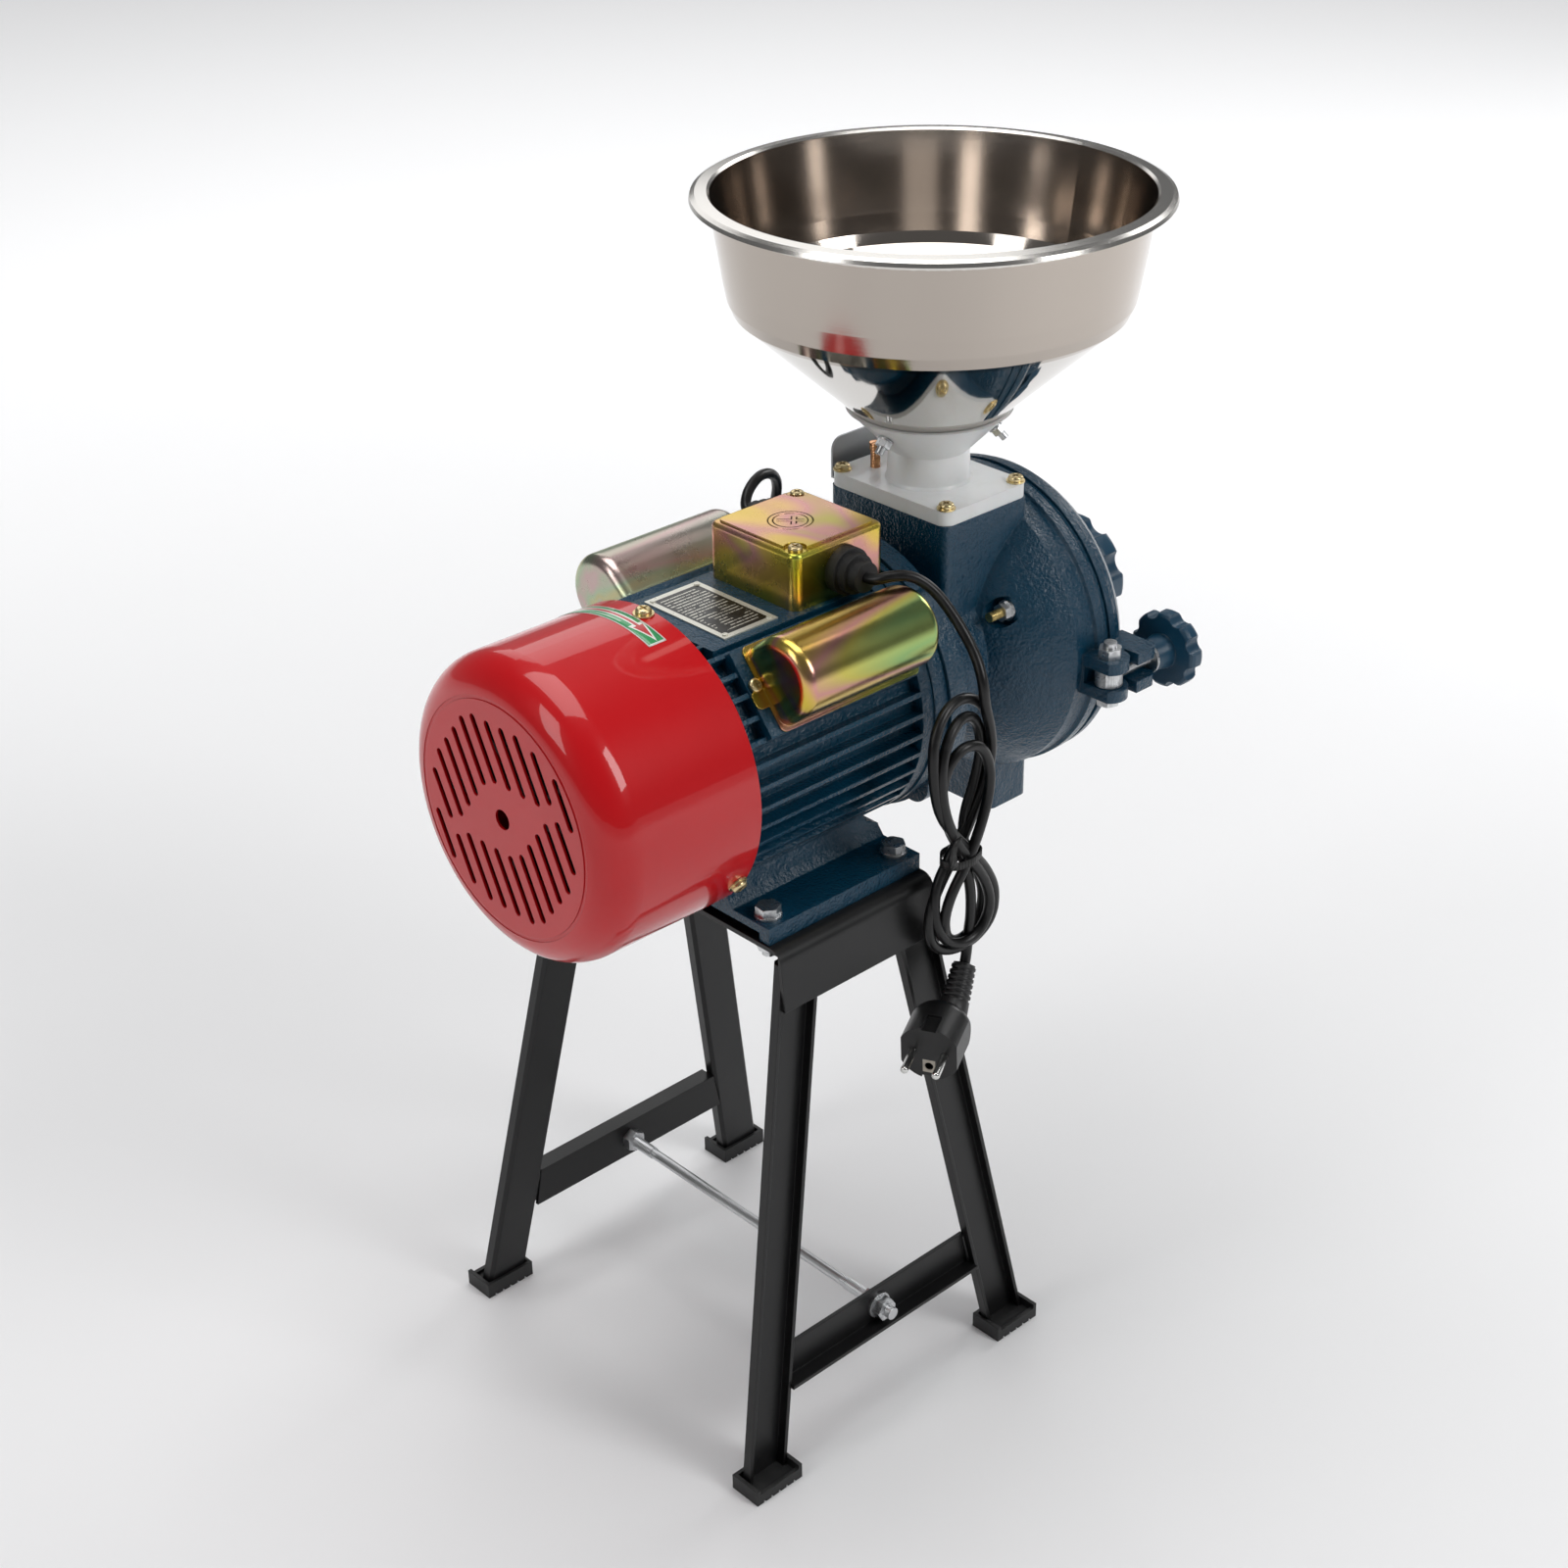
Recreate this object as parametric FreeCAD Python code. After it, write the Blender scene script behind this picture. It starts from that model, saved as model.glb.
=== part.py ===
import FreeCAD, Part
import math
import os

# Motor-driven disc mill for grain on a four-legged stand. Millimetres, +Z up.
# +X runs along the motor shaft from the fan cowl to the mill head, -Y is the
# side with the power cord and the clamp. The origin lies on the floor, midway
# between the four feet.

# --- stand -----------------------------------------------------------------
STAND_TOP = 344.0        # top face of the saddle plate
SADDLE_HALF_X = 61.0
SADDLE_T = 3.0
SKIRT_DROP = 38.0        # how far the bent-down sides reach
SKIRT_T = 2.5
BEND_R = 9.0
LEG_WIDTH = 30.0
LEG_DEPTH = 8.5
LEG_T = 2.5
LEG_TOP_X = 41.5
LEG_FOOT_X = 105.0
LEG_TOP_Y = 91.0
LEG_FOOT_Y = 123.0
LEG_TOP_GAP = 11.0       # leg end below the saddle plate, clear of the bend
SHOE_FLOOR = 5.0
SHOE_HEIGHT = 10.5
SHOE_WALL = 2.6
SHOE_LIP = 7.5
BRACE_Z = 56.0
BRACE_HEIGHT = 26.0
BRACE_FLANGE = 12.0
BRACE_T = 2.5
ROD_SHANK_R = 3.4
ROD_THREAD_R = 4.0
ROD_THREAD_LEN = 40.0
ROD_STICKOUT = 5.0

# --- motor -----------------------------------------------------------------
BODY_R = 75.0
AXIS_Z = STAND_TOP + BODY_R + 12.5                 # height of the shaft
FOOT_HALF_X = 60.0
FOOT_HALF_Y = 92.0
FOOT_HEIGHT = 11.0
FOOT_PLATE = 5.5
FOOT_BOLT_X = 49.8
FOOT_BOLT_Y = 80.5
BODY_X0 = -70.0
BODY_X1 = 76.0
BODY_BORE_R = BODY_R - 9.0
FIN_R = BODY_R + 8.0
FIN_T = 3.0
FIN_COUNT = 40
PAD_HALF_Y = 40.0
PAD_TOP = AXIS_Z + BODY_R - 1.1
PAD_X0 = -50.0
PAD_X1 = 80.0
STATOR_LEN = 80.0
STATOR_MID = 5.0
ROTOR_R = 0.6 * BODY_BORE_R
AIR_GAP = 0.4
SHAFT_R = 12.5
JOURNAL_R = 10.0
RUN_FIT = 0.03           # radial play of a journal in its bearing
BEARING_OR = 23.5
BEARING_W = 14.0
SHIELD_T = 14.0
COWL_FACE = -169.0
COWL_OPEN = -62.5
COWL_R = FIN_R + 7.8
COWL_T = 1.5
COWL_EDGE_R = 23.0
COWL_HOLE_R = 6.0
SLOT_COUNT = 11
SLOT_PITCH = 11.3
SLOT_WIDTH = 4.6
SLOT_TILT = 26.0
SLOT_LEN = 40.0
COWL_SCREW_ANGLES = (93.0, -147.0, -27.0)
COWL_SCREW_X = COWL_OPEN - 6.0
FAN_X0 = -148.0
FAN_X1 = -112.0
FAN_R = COWL_R - 10.8

# --- boxes and covers on the motor --------------------------------------------
BOX_MID_X = 50.5
BOX_HALF_X = 35.4
BOX_HALF_Y = 36.3
BOX_TOP = PAD_TOP + 35.5
SHEET_T = 1.2
GLAND_X = 52.0
LEAD_GLAND_X = 68.0
GLAND_Z = PAD_TOP + 16.1
GLAND_R = 14.0
GLAND_STEP_R = 10.5
GLAND_REACH = 19.0
CAP_ANGLE = 40.0
CAP_X0 = -36.0
CAP_X1 = 68.0
CAP_SEAT = FIN_R + 1.0
CAP_HALF_W = 24.0
CAP_WALL_H = 16.0
CAPACITOR_R = 18.5
SWITCH_X0 = 74.0
SWITCH_X1 = 108.0
SWITCH_Y0 = 88.0
SWITCH_Z0 = AXIS_Z - 35.5
SWITCH_Z1 = AXIS_Z + 16.5
SWITCH_DEPTH = 26.0

# --- mill ----------------------------------------------------------------------
FLANGE_X0 = 91.0
FLANGE_X1 = 105.0
FLANGE_R = FIN_R + 3.0
JOIN_BOLT_R = FLANGE_R - 8.0
NECK_R = 60.0
DRUM_R = FLANGE_R + 9.8
CHAMBER_R = DRUM_R - 8.8
CHAMBER_X0 = 176.0
SPLIT_X = 218.0
COVER_X1 = 236.0
FEED_X = 158.8
FEED_HALF_X = 35.4
FEED_HALF_Y = 48.3
FEED_TOP = AXIS_Z + DRUM_R + 0.2
FEED_BORE_X = 23.5
FEED_BORE_Y = 36.0
AUGER_BORE_R = 24.0
AUGER_R = 22.0
MILL_SHAFT_R = 9.0
BURR_R = CHAMBER_R - 7.0
BURR_HOLE_R = 25.0
BURR_T = 12.0
BURR_GAP = 1.2
STUD_RING_R = BURR_R - 9.0
DISC_T = 7.0
BURR_FACE = CHAMBER_X0 + BURR_T
RUNNER_X0 = BURR_FACE + BURR_GAP
DISC_X0 = RUNNER_X0 + BURR_T
DISC_X1 = DISC_X0 + DISC_T
STUD_ANGLES = (30.0, 150.0, 270.0)
STUD_SEAT = 164.0
PIN_R = 4.0
SPOUT_HALF_Y = 21.0
SPOUT_Z0 = AXIS_Z - DRUM_R - 35.7
SPOUT_X0 = 198.0
SPOUT_X1 = 234.0
SPOUT_WALL = 5.0
GATE_T = 1.5
GATE_HALF_X = 25.0
GATE_TAB_Y = 56.0
GATE_TAB_TOP = FEED_TOP + 23.5
GATE_SCREW = (146.5, 32.4)
ADAPTER_T = 9.0
ADAPTER_TOP = FEED_TOP + 53.5
NECK_TOP = FEED_TOP + 28.5
ADAPTER_NECK_R = 25.0
ADAPTER_BORE_R = 21.0
ADAPTER_SCREW_X = 29.6
ADAPTER_SCREW_Y = 42.9
HOPPER_RIM_Z = FEED_TOP + 183.5
HOPPER_RIM_R = 137.8
HOPPER_WALL_R = HOPPER_RIM_R - 11.3
HOPPER_SHOULDER_R = HOPPER_WALL_R - 8.5
HOPPER_SHOULDER_Z = FEED_TOP + 119.5
HOPPER_LOW_R = 23.5
HOPPER_LOW_Z = FEED_TOP + 33.5
HOPPER_T = 1.0
BOLT_SEAT = 3.4          # flat spot for a hopper bolt's washer, out from the steel
SPINDLE_R = 8.0
BOSS_X = 270.0
KNOB_R = 38.0
KNOB_X0 = 286.0
KNOB_X1 = 302.0
LUG_Y = DRUM_R + 12.7                     # clamp pivot and hinge pin, either side of the shaft
LUG_X = 204.0
LUG_Z = AXIS_Z - 5.5                      # mid height of the clamp and the hinge
LUG_GAP = 11.0
LUG_T = 7.5
PRONG_X1 = 237.0
PRONG_Y = LUG_Y + 10.5
WASHER_T = 2.0
WASHER_GAP = 0.8
WHEEL_X0 = PRONG_X1 + WASHER_GAP + WASHER_T
WHEEL_R = 24.5
CLEAR = 0.3              # play between pieces on different bodies

# --- power cord ------------------------------------------------------------------
CORD_D = 6.4
CORD_ROUTE = [
    (52.0, -55.3, GLAND_Z), (52.0, -61.0, GLAND_Z), (58.5, -68.5, GLAND_Z + 3.5),
    (68.0, -75.5, GLAND_Z + 3.0), (77.0, -83.5, GLAND_Z - 5.5), (83.0, -92.5, GLAND_Z - 19.5),
    (86.5, -101.5, GLAND_Z - 33.5), (85.0, -111.0, GLAND_Z - 43.5), (82.5, -118.0, GLAND_Z - 54.5),
    (82.5, -118.0, GLAND_Z - 66.5),
]
HANK_Y = -118.0
HANK_T = 20.0
HANK_LOW = GLAND_Z - 224.5
PLUG_FACE = (22.0, -138.0, GLAND_Z - 267.0)
PLUG_R = 19.0
PLUG_DEPTH = 32.0
RELIEF_LEN = 34.0
TAIL_ROUTE = [
    (74.0, -118.5, GLAND_Z - 224.5), (74.0, -118.5, GLAND_Z - 230.5), (70.4, -120.0, GLAND_Z - 235.0),
]
LEAD_D = 6.4
LEAD_ROUTE = [
    (68.0, 55.3, GLAND_Z), (68.0, 63.0, GLAND_Z), (75.0, 69.0, GLAND_Z + 8.5),
    (90.0, 73.0, GLAND_Z + 15.0), (107.0, 78.0, GLAND_Z + 8.5), (115.0, 85.0, GLAND_Z - 8.5),
    (113.0, 92.0, GLAND_Z - 28.5), (104.0, 97.5, GLAND_Z - 46.5), (97.0, 101.0, GLAND_Z - 59.5),
    (97.0, 101.0, GLAND_Z - 69.5),
]

V = FreeCAD.Vector
X_AXIS = V(1, 0, 0)
Y_AXIS = V(0, 1, 0)
Z_AXIS = V(0, 0, 1)
CENTRE = V(0, 0, AXIS_Z)


def box(x0, x1, y0, y1, z0, z1):
    return Part.makeBox(x1 - x0, y1 - y0, z1 - z0, V(x0, y0, z0))


def cyl_x(x0, x1, r, y=0.0, z=AXIS_Z):
    return Part.makeCylinder(r, x1 - x0, V(x0, y, z), X_AXIS)


def cyl_y(y0, y1, r, x, z):
    return Part.makeCylinder(r, y1 - y0, V(x, y0, z), Y_AXIS)


def cyl_z(z0, z1, r, x, y):
    return Part.makeCylinder(r, z1 - z0, V(x, y, z0), Z_AXIS)


def join(shapes):
    """Fuse touching shapes into one solid."""
    solid = shapes[0].multiFuse(shapes[1:]) if len(shapes) > 1 else shapes[0]
    return solid.removeSplitter()


def prism(points, direction):
    """Extrude a closed polygon of 3-D points along a vector."""
    wire = Part.makePolygon([V(*p) for p in points] + [V(*points[0])])
    return Part.Face(wire).extrude(V(*direction))


def ring_x(x0, x1, outer, inner):
    return cyl_x(x0, x1, outer).cut(cyl_x(x0 - 1, x1 + 1, inner))


def hex_prism(across_flats, height, base, axis, turn=0.0):
    """Hexagonal head or nut standing on the point base along axis."""
    r = across_flats / math.sqrt(3.0)
    pts = []
    for i in range(6):
        a = math.radians(60.0 * i + turn)
        pts.append((r * math.cos(a), r * math.sin(a), 0))
    solid = prism(pts, (0, 0, height))
    bevel = Part.makeCone(r + height * 1.6, r * 0.93, height * 1.25, V(0, 0, -height * 0.25))
    solid = solid.common(bevel)
    solid.Placement = FreeCAD.Placement(V(*base), FreeCAD.Rotation(Z_AXIS, V(*axis)))
    return solid


def turned(points, axis_point, axis_dir):
    """Closed profile of 3-D points turned a full circle."""
    wire = Part.makePolygon([V(*p) for p in points] + [V(*points[0])])
    return Part.Face(wire).revolve(axis_point, axis_dir, 360)


def turned_x(profile):
    """Profile of (x, radius) pairs turned about the shaft line."""
    return turned([(x, 0, AXIS_Z + r) for x, r in profile], CENTRE, X_AXIS)


def turned_z(profile, x, y):
    """Profile of (radius, z) pairs turned about an upright line."""
    return turned([(x + r, y, z) for r, z in profile], V(x, y, 0), Z_AXIS)


def spin_x(shape, degrees):
    copy = shape.copy()
    copy.rotate(CENTRE, X_AXIS, degrees)
    return copy


def save(name, shapes):
    """Write one sub-part; several separate pieces go in as a compound."""
    solids = shapes if isinstance(shapes, list) else [shapes]
    out = []
    for shape in solids:
        out += shape.Solids
    shape = out[0] if len(out) == 1 else Part.makeCompound(out)
    bad = [s for s in out if not s.isValid() or s.Volume <= 0]
    print("%-26s %2d solids %12.1f mm3%s" % (name, len(out), shape.Volume, "  BAD" if bad else ""))
    shape.exportStep("parts/%s.step" % name)


# --- stand ------------------------------------------------------------------------
LEG_TOP_Z = STAND_TOP - LEG_TOP_GAP
LEG_SLOPE_X = (LEG_FOOT_X - LEG_TOP_X) / (STAND_TOP - SHOE_FLOOR)
LEG_SLOPE_Y = (LEG_FOOT_Y - LEG_TOP_Y) / (STAND_TOP - SHOE_FLOOR)


def leg_x(z):
    """Middle of a leg, measured from the middle of the stand."""
    return LEG_TOP_X + (STAND_TOP - z) * LEG_SLOPE_X


def leg_y(z):
    """Back of a leg's web, measured from the middle of the stand."""
    return LEG_TOP_Y + (STAND_TOP - z) * LEG_SLOPE_Y


def leg_section(grow=0.0):
    """Outer outline of the channel, the web at y = 0 and the flanges outward."""
    h = LEG_WIDTH / 2 + grow
    return [(-h, -grow), (h, -grow), (h, LEG_DEPTH + grow), (-h, LEG_DEPTH + grow)]


def leg_prism(section, sx, sy, z0, z1):
    pts = [(sx * leg_x(z0) + x, sy * (leg_y(z0) + y), z0) for x, y in section]
    run = (sx * (leg_x(z1) - leg_x(z0)), sy * (leg_y(z1) - leg_y(z0)), z1 - z0)
    return prism(pts, run)


def leg(sx, sy):
    """Channel with its open side outward, cut level at both ends."""
    h = LEG_WIDTH / 2
    c = 2.2
    outer = [(-h + c, 0), (h - c, 0), (h, c), (h, LEG_DEPTH), (-h, LEG_DEPTH), (-h, c)]
    g = h - LEG_T
    inner = [(-g, LEG_T), (g, LEG_T), (g, LEG_DEPTH + 5), (-g, LEG_DEPTH + 5)]
    body = leg_prism(outer, sx, sy, SHOE_FLOOR, LEG_TOP_Z)
    hollow = leg_prism(inner, sx, sy, SHOE_FLOOR - 5, LEG_TOP_Z + 5)
    return body.cut(hollow)


def saddle():
    """Plate under the motor foot; its two long edges are bent down over the legs."""
    y0 = leg_y(STAND_TOP) + LEG_DEPTH
    low = STAND_TOP - SKIRT_DROP
    y1 = leg_y(low) + LEG_DEPTH
    out = [(y0 + SKIRT_T, STAND_TOP), (y1 + SKIRT_T, low), (y1, low)]
    under = STAND_TOP - SADDLE_T
    inn = [(leg_y(under) + LEG_DEPTH, under)]
    side = out + inn
    pts = [(-SADDLE_HALF_X, y, z) for y, z in side]
    pts += [(-SADDLE_HALF_X, -y, z) for y, z in reversed(side)]
    plate = prism(pts, (2 * SADDLE_HALF_X, 0, 0))
    corners = []
    for edge in plate.Edges:
        a, b = edge.Vertexes[0].Point, edge.Vertexes[-1].Point
        along = abs(a.x - b.x) > SADDLE_HALF_X
        if along and abs(a.z - STAND_TOP) < 0.01 and abs(a.y) > y0:
            corners.append(edge)
    plate = plate.makeFillet(BEND_R, corners)
    holes = [cyl_z(under - 1, STAND_TOP + 1, 4.5, sx * FOOT_BOLT_X, sy * FOOT_BOLT_Y)
             for sx in (-1, 1) for sy in (-1, 1)]
    return plate.cut(Part.makeCompound(holes))


def shoe(sx, sy):
    """Rubber shoe with raised ends, a low outer lip and a ribbed tread."""
    half_x = LEG_WIDTH / 2 + 0.6 + SHOE_WALL
    mid_x = sx * leg_x(SHOE_FLOOR)
    back = leg_y(SHOE_FLOOR) - 0.6 - SHOE_WALL
    front = leg_y(SHOE_FLOOR) + LEG_DEPTH + 10.5
    y0, y1 = sorted((sy * back, sy * front))
    body = box(mid_x - half_x, mid_x + half_x, y0, y1, 0, SHOE_HEIGHT)
    c0, c1 = sorted((sy * (back + SHOE_WALL), sy * (front - SHOE_WALL)))
    body = body.cut(box(mid_x - half_x + SHOE_WALL, mid_x + half_x - SHOE_WALL, c0, c1,
                        SHOE_FLOOR, SHOE_HEIGHT + 1))
    l0, l1 = sorted((sy * (front - SHOE_WALL - 1), sy * (front + 1)))
    body = body.cut(box(mid_x - half_x + SHOE_WALL, mid_x + half_x - SHOE_WALL, l0, l1,
                        SHOE_LIP, SHOE_HEIGHT + 1))
    body = body.cut(leg_prism(leg_section(CLEAR), sx, sy, SHOE_FLOOR, SHOE_HEIGHT + 5))
    grooves = []
    step = 2 * half_x / 6.0
    for i in range(1, 6):
        x = mid_x - half_x + i * step
        grooves.append(box(x - 0.9, x + 0.9, y0 - 1, y1 + 1, -1, 1.6))
    return body.cut(Part.makeCompound(grooves))


def brace(sy):
    """Angle between the two legs of one side, cut to the slope of the legs."""
    z0, z1 = BRACE_Z, BRACE_Z + BRACE_HEIGHT
    mid = (z0 + z1) / 2

    def inner(z):
        return leg_x(z) - LEG_WIDTH / 2

    y_in = leg_y(mid)
    web = [(-inner(z0), z0), (inner(z0), z0), (inner(z1), z1), (-inner(z1), z1)]
    ya, yb = sy * y_in, sy * (y_in + BRACE_T)
    web_solid = prism([(x, ya, z) for x, z in web], (0, yb - ya, 0))
    f0, f1 = (z0, z0 + BRACE_T) if sy < 0 else (z1 - BRACE_T, z1)
    lip = [(-inner(f0), f0), (inner(f0), f0), (inner(f1), f1), (-inner(f1), f1)]
    lip_solid = prism([(x, ya, z) for x, z in lip], (0, sy * BRACE_FLANGE, 0))
    solid = join([web_solid, lip_solid])
    lo, hi = sorted((ya, yb))
    return solid.cut(cyl_y(lo - 1, hi + 1, ROD_THREAD_R + 0.4, 0, mid))


def tie_rod():
    mid = BRACE_Z + BRACE_HEIGHT / 2
    end = leg_y(mid) + BRACE_T + 1.6 + 6.5 + ROD_STICKOUT
    near = cyl_y(-end, -end + ROD_THREAD_LEN, ROD_THREAD_R, 0, mid)
    far = cyl_y(end - ROD_THREAD_LEN, end, ROD_THREAD_R, 0, mid)
    shank = cyl_y(-end + ROD_THREAD_LEN - 1, end - ROD_THREAD_LEN + 1, ROD_SHANK_R, 0, mid)
    return join([near, shank, far])


def tie_nuts():
    mid = BRACE_Z + BRACE_HEIGHT / 2
    out = []
    hole = cyl_y(-200, 200, ROD_THREAD_R, 0, mid)
    for sy in (-1, 1):
        web_in = leg_y(mid)
        web_out = web_in + BRACE_T
        lo, hi = sorted((sy * web_out, sy * (web_out + 1.6)))
        washer = cyl_y(lo, hi, 8.5, 0, mid)
        nut = hex_prism(13.0, 6.5, (0, sy * (web_out + 1.6), mid), (0, sy, 0))
        out.append(join([washer, nut]).cut(hole))
        out.append(hex_prism(13.0, 6.5, (0, sy * web_in, mid), (0, -sy, 0), 30).cut(hole))
    return out


# --- motor -------------------------------------------------------------------------
def flank_frame(shape, sy):
    """Place a shape built on the +Z side of the shaft onto a flank of the motor."""
    return spin_x(shape, sy * -(90.0 - CAP_ANGLE))


def cap_screw_at(sy):
    """Foot point and outward direction of a capacitor cover's ear screw."""
    a = math.radians(CAP_ANGLE)
    n = V(0, sy * math.cos(a), math.sin(a))
    t = V(0, -sy * math.sin(a), math.cos(a))
    return CENTRE + n * CAP_SEAT + t * 4.0 + V(CAP_X0 - 4.5, 0, 0), n




def motor_body():
    """Ribbed cast body with its feet, top pad and the pads for the two side covers."""
    solids = [cyl_x(BODY_X0, BODY_X1, BODY_R)]
    for i in range(FIN_COUNT):
        angle = 360.0 / FIN_COUNT * (i + 0.5)
        solids.append(spin_x(box(-58, BODY_X1, -FIN_T / 2, FIN_T / 2,
                                 AXIS_Z + BODY_R - 3, AXIS_Z + FIN_R), angle))
    solids.append(cyl_x(BODY_X1 - 5, PAD_X1, FIN_R))
    solids.append(box(PAD_X0, PAD_X1, -PAD_HALF_Y, PAD_HALF_Y, AXIS_Z + 50, PAD_TOP))
    for sy in (-1, 1):
        pad = box(CAP_X0 - 9, CAP_X1 + 4, -CAP_HALF_W - 2, CAP_HALF_W + 2,
                  AXIS_Z + 60, AXIS_Z + CAP_SEAT)
        solids.append(flank_frame(pad, sy))
    for angle in COWL_SCREW_ANGLES:
        lug = box(BODY_X0, COWL_OPEN, -6, 6, AXIS_Z + 60, AXIS_Z + COWL_R - COWL_T)
        lug = lug.common(cyl_x(BODY_X0, COWL_OPEN, COWL_R - COWL_T))
        solids.append(spin_x(lug, angle - 90.0))
    foot_top = STAND_TOP + FOOT_HEIGHT
    solids.append(box(-FOOT_HALF_X, FOOT_HALF_X, -FOOT_HALF_Y, FOOT_HALF_Y, STAND_TOP, foot_top))
    side = [(-63, foot_top - 1), (63, foot_top - 1), (58, foot_top + 5), (53, foot_top + 16),
            (52, AXIS_Z - 40), (-52, AXIS_Z - 40), (-53, foot_top + 16), (-58, foot_top + 5)]
    pedestal = prism([(-FOOT_HALF_X, y, z) for y, z in side], (2 * FOOT_HALF_X, 0, 0))
    waist = prism([(FOOT_HALF_X + 1, -80, foot_top + 6), (FOOT_HALF_X + 1, -80, AXIS_Z - 30),
                   (FOOT_HALF_X - 12, -80, AXIS_Z - 30), (FOOT_HALF_X - 12, -80, foot_top + 22),
                   (FOOT_HALF_X - 8, -80, foot_top + 10)], (0, 160, 0))
    solids.append(pedestal.cut(waist))
    body = join(solids)
    body = body.cut(box(-60, PAD_X1 + 1, -PAD_HALF_Y, PAD_HALF_Y, PAD_TOP, PAD_TOP + 40))
    body = body.cut(cyl_x(BODY_X0 - 1, PAD_X1 + 1, BODY_BORE_R))
    body = body.cut(box(-FOOT_HALF_X - 1, FOOT_HALF_X + 1, -FOOT_HALF_Y + 8, FOOT_HALF_Y - 8,
                        STAND_TOP - 1, foot_top - FOOT_PLATE))
    tools = []
    for sx in (-1, 1):
        for sy in (-1, 1):
            tools.append(cyl_z(STAND_TOP - 1, foot_top + 1, 4.5, sx * FOOT_BOLT_X, sy * FOOT_BOLT_Y))
            tools.append(cyl_z(PAD_TOP - 8.0, PAD_TOP + 1, 2.0, BOX_MID_X + sx * (BOX_HALF_X - 8),
                               sy * (BOX_HALF_Y - 8)))
    for angle in COWL_SCREW_ANGLES:
        hole = cyl_z(AXIS_Z + 78, AXIS_Z + COWL_R + 1, 2.5, COWL_SCREW_X, 0)
        tools.append(spin_x(hole, angle - 90.0))
    for sy in (-1, 1):
        p, n = cap_screw_at(sy)
        tools.append(Part.makeCylinder(2.0, 11, p - n * 10, n))
    return body.cut(Part.makeCompound(tools))


def pan_screw(base, axis, head_r, head_h, shank_r, shank_len):
    """Cross-recessed pan head on its shank; base is the seat under the head."""
    b, n = V(*base), V(*axis)
    head = Part.makeCylinder(head_r, head_h, V(0, 0, 0), Z_AXIS)
    rim = [e for e in head.Edges if abs(e.BoundBox.ZMin - head_h) < 1e-6 and e.BoundBox.ZLength < 1e-6]
    head = head.makeFillet(head_h * 0.55, rim)
    slot_a = Part.makeBox(head_r * 1.2, head_r * 0.26, head_h, V(-head_r * 0.6, -head_r * 0.13, head_h * 0.5))
    slot_b = Part.makeBox(head_r * 0.26, head_r * 1.2, head_h, V(-head_r * 0.13, -head_r * 0.6, head_h * 0.5))
    head = head.cut(slot_a).cut(slot_b)
    shank = Part.makeCylinder(shank_r, shank_len + 0.5, V(0, 0, -shank_len), Z_AXIS)
    screw = join([head, shank])
    screw.Placement = FreeCAD.Placement(b, FreeCAD.Rotation(Z_AXIS, n))
    return screw


def foot_bolts():
    top = STAND_TOP + FOOT_HEIGHT
    out = []
    for sx in (-1, 1):
        for sy in (-1, 1):
            x, y = sx * FOOT_BOLT_X, sy * FOOT_BOLT_Y
            head = hex_prism(13.0, 5.3, (x, y, top + 1.6), (0, 0, 1), 15 * sx + 40)
            washer = cyl_z(top, top + 1.7, 8.0, x, y)
            shank = cyl_z(STAND_TOP - SADDLE_T - 1.6 - 6.5 - 3, top + 1, 4.0, x, y)
            out.append(join([head, washer, shank]))
    return out


def foot_nuts():
    under = STAND_TOP - SADDLE_T
    out = []
    for sx in (-1, 1):
        for sy in (-1, 1):
            x, y = sx * FOOT_BOLT_X, sy * FOOT_BOLT_Y
            nut = hex_prism(13.0, 6.5, (x, y, under), (0, 0, -1))
            out.append(nut.cut(cyl_z(under - 8, under + 1, 4.0, x, y)))
    return out


def rear_shield():
    x0, x1 = BODY_X0 - SHIELD_T, BODY_X0
    disc = cyl_x(x0, x1, BODY_R)
    spigot = cyl_x(x1 - 1, x1 + 4, BODY_BORE_R - 0.05)
    disc = join([disc, spigot])
    disc = disc.cut(cyl_x(x0 - 1, x0 + BEARING_W, BEARING_OR))
    disc = disc.cut(cyl_x(x0, x1 + 5, JOURNAL_R + 2.5))
    return disc


def front_shield():
    x0, x1 = PAD_X1, FLANGE_X0
    disc = cyl_x(x0, x1, FLANGE_R - 2)
    spigot = cyl_x(x0 - 6, x0 + 1, BODY_BORE_R - 0.05)
    disc = join([disc, spigot])
    disc = disc.cut(cyl_x(x1 - BEARING_W, x1 + 1, BEARING_OR))
    disc = disc.cut(cyl_x(x0 - 7, x1, JOURNAL_R + 2.5))
    disc = disc.cut(box(x0 - 7, BOX_MID_X + BOX_HALF_X + 0.5, -PAD_HALF_Y, PAD_HALF_Y, PAD_TOP, PAD_TOP + 40))
    holes = []
    for angle in (45, 135, 225, 315):
        a = math.radians(angle)
        y, z = JOIN_BOLT_R * math.cos(a), AXIS_Z + JOIN_BOLT_R * math.sin(a)
        holes.append(cyl_x(x0 + 1, x1 + 1, 4.0, y, z))
    return disc.cut(Part.makeCompound(holes))


def bearings():
    rear0 = BODY_X0 - SHIELD_T
    front0 = FLANGE_X0 - BEARING_W
    return [ring_x(rear0, rear0 + BEARING_W, BEARING_OR, JOURNAL_R),
            ring_x(front0, front0 + BEARING_W, BEARING_OR, JOURNAL_R)]


def stator_core():
    return ring_x(STATOR_MID - STATOR_LEN / 2, STATOR_MID + STATOR_LEN / 2,
                  BODY_BORE_R, ROTOR_R + AIR_GAP)


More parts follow.
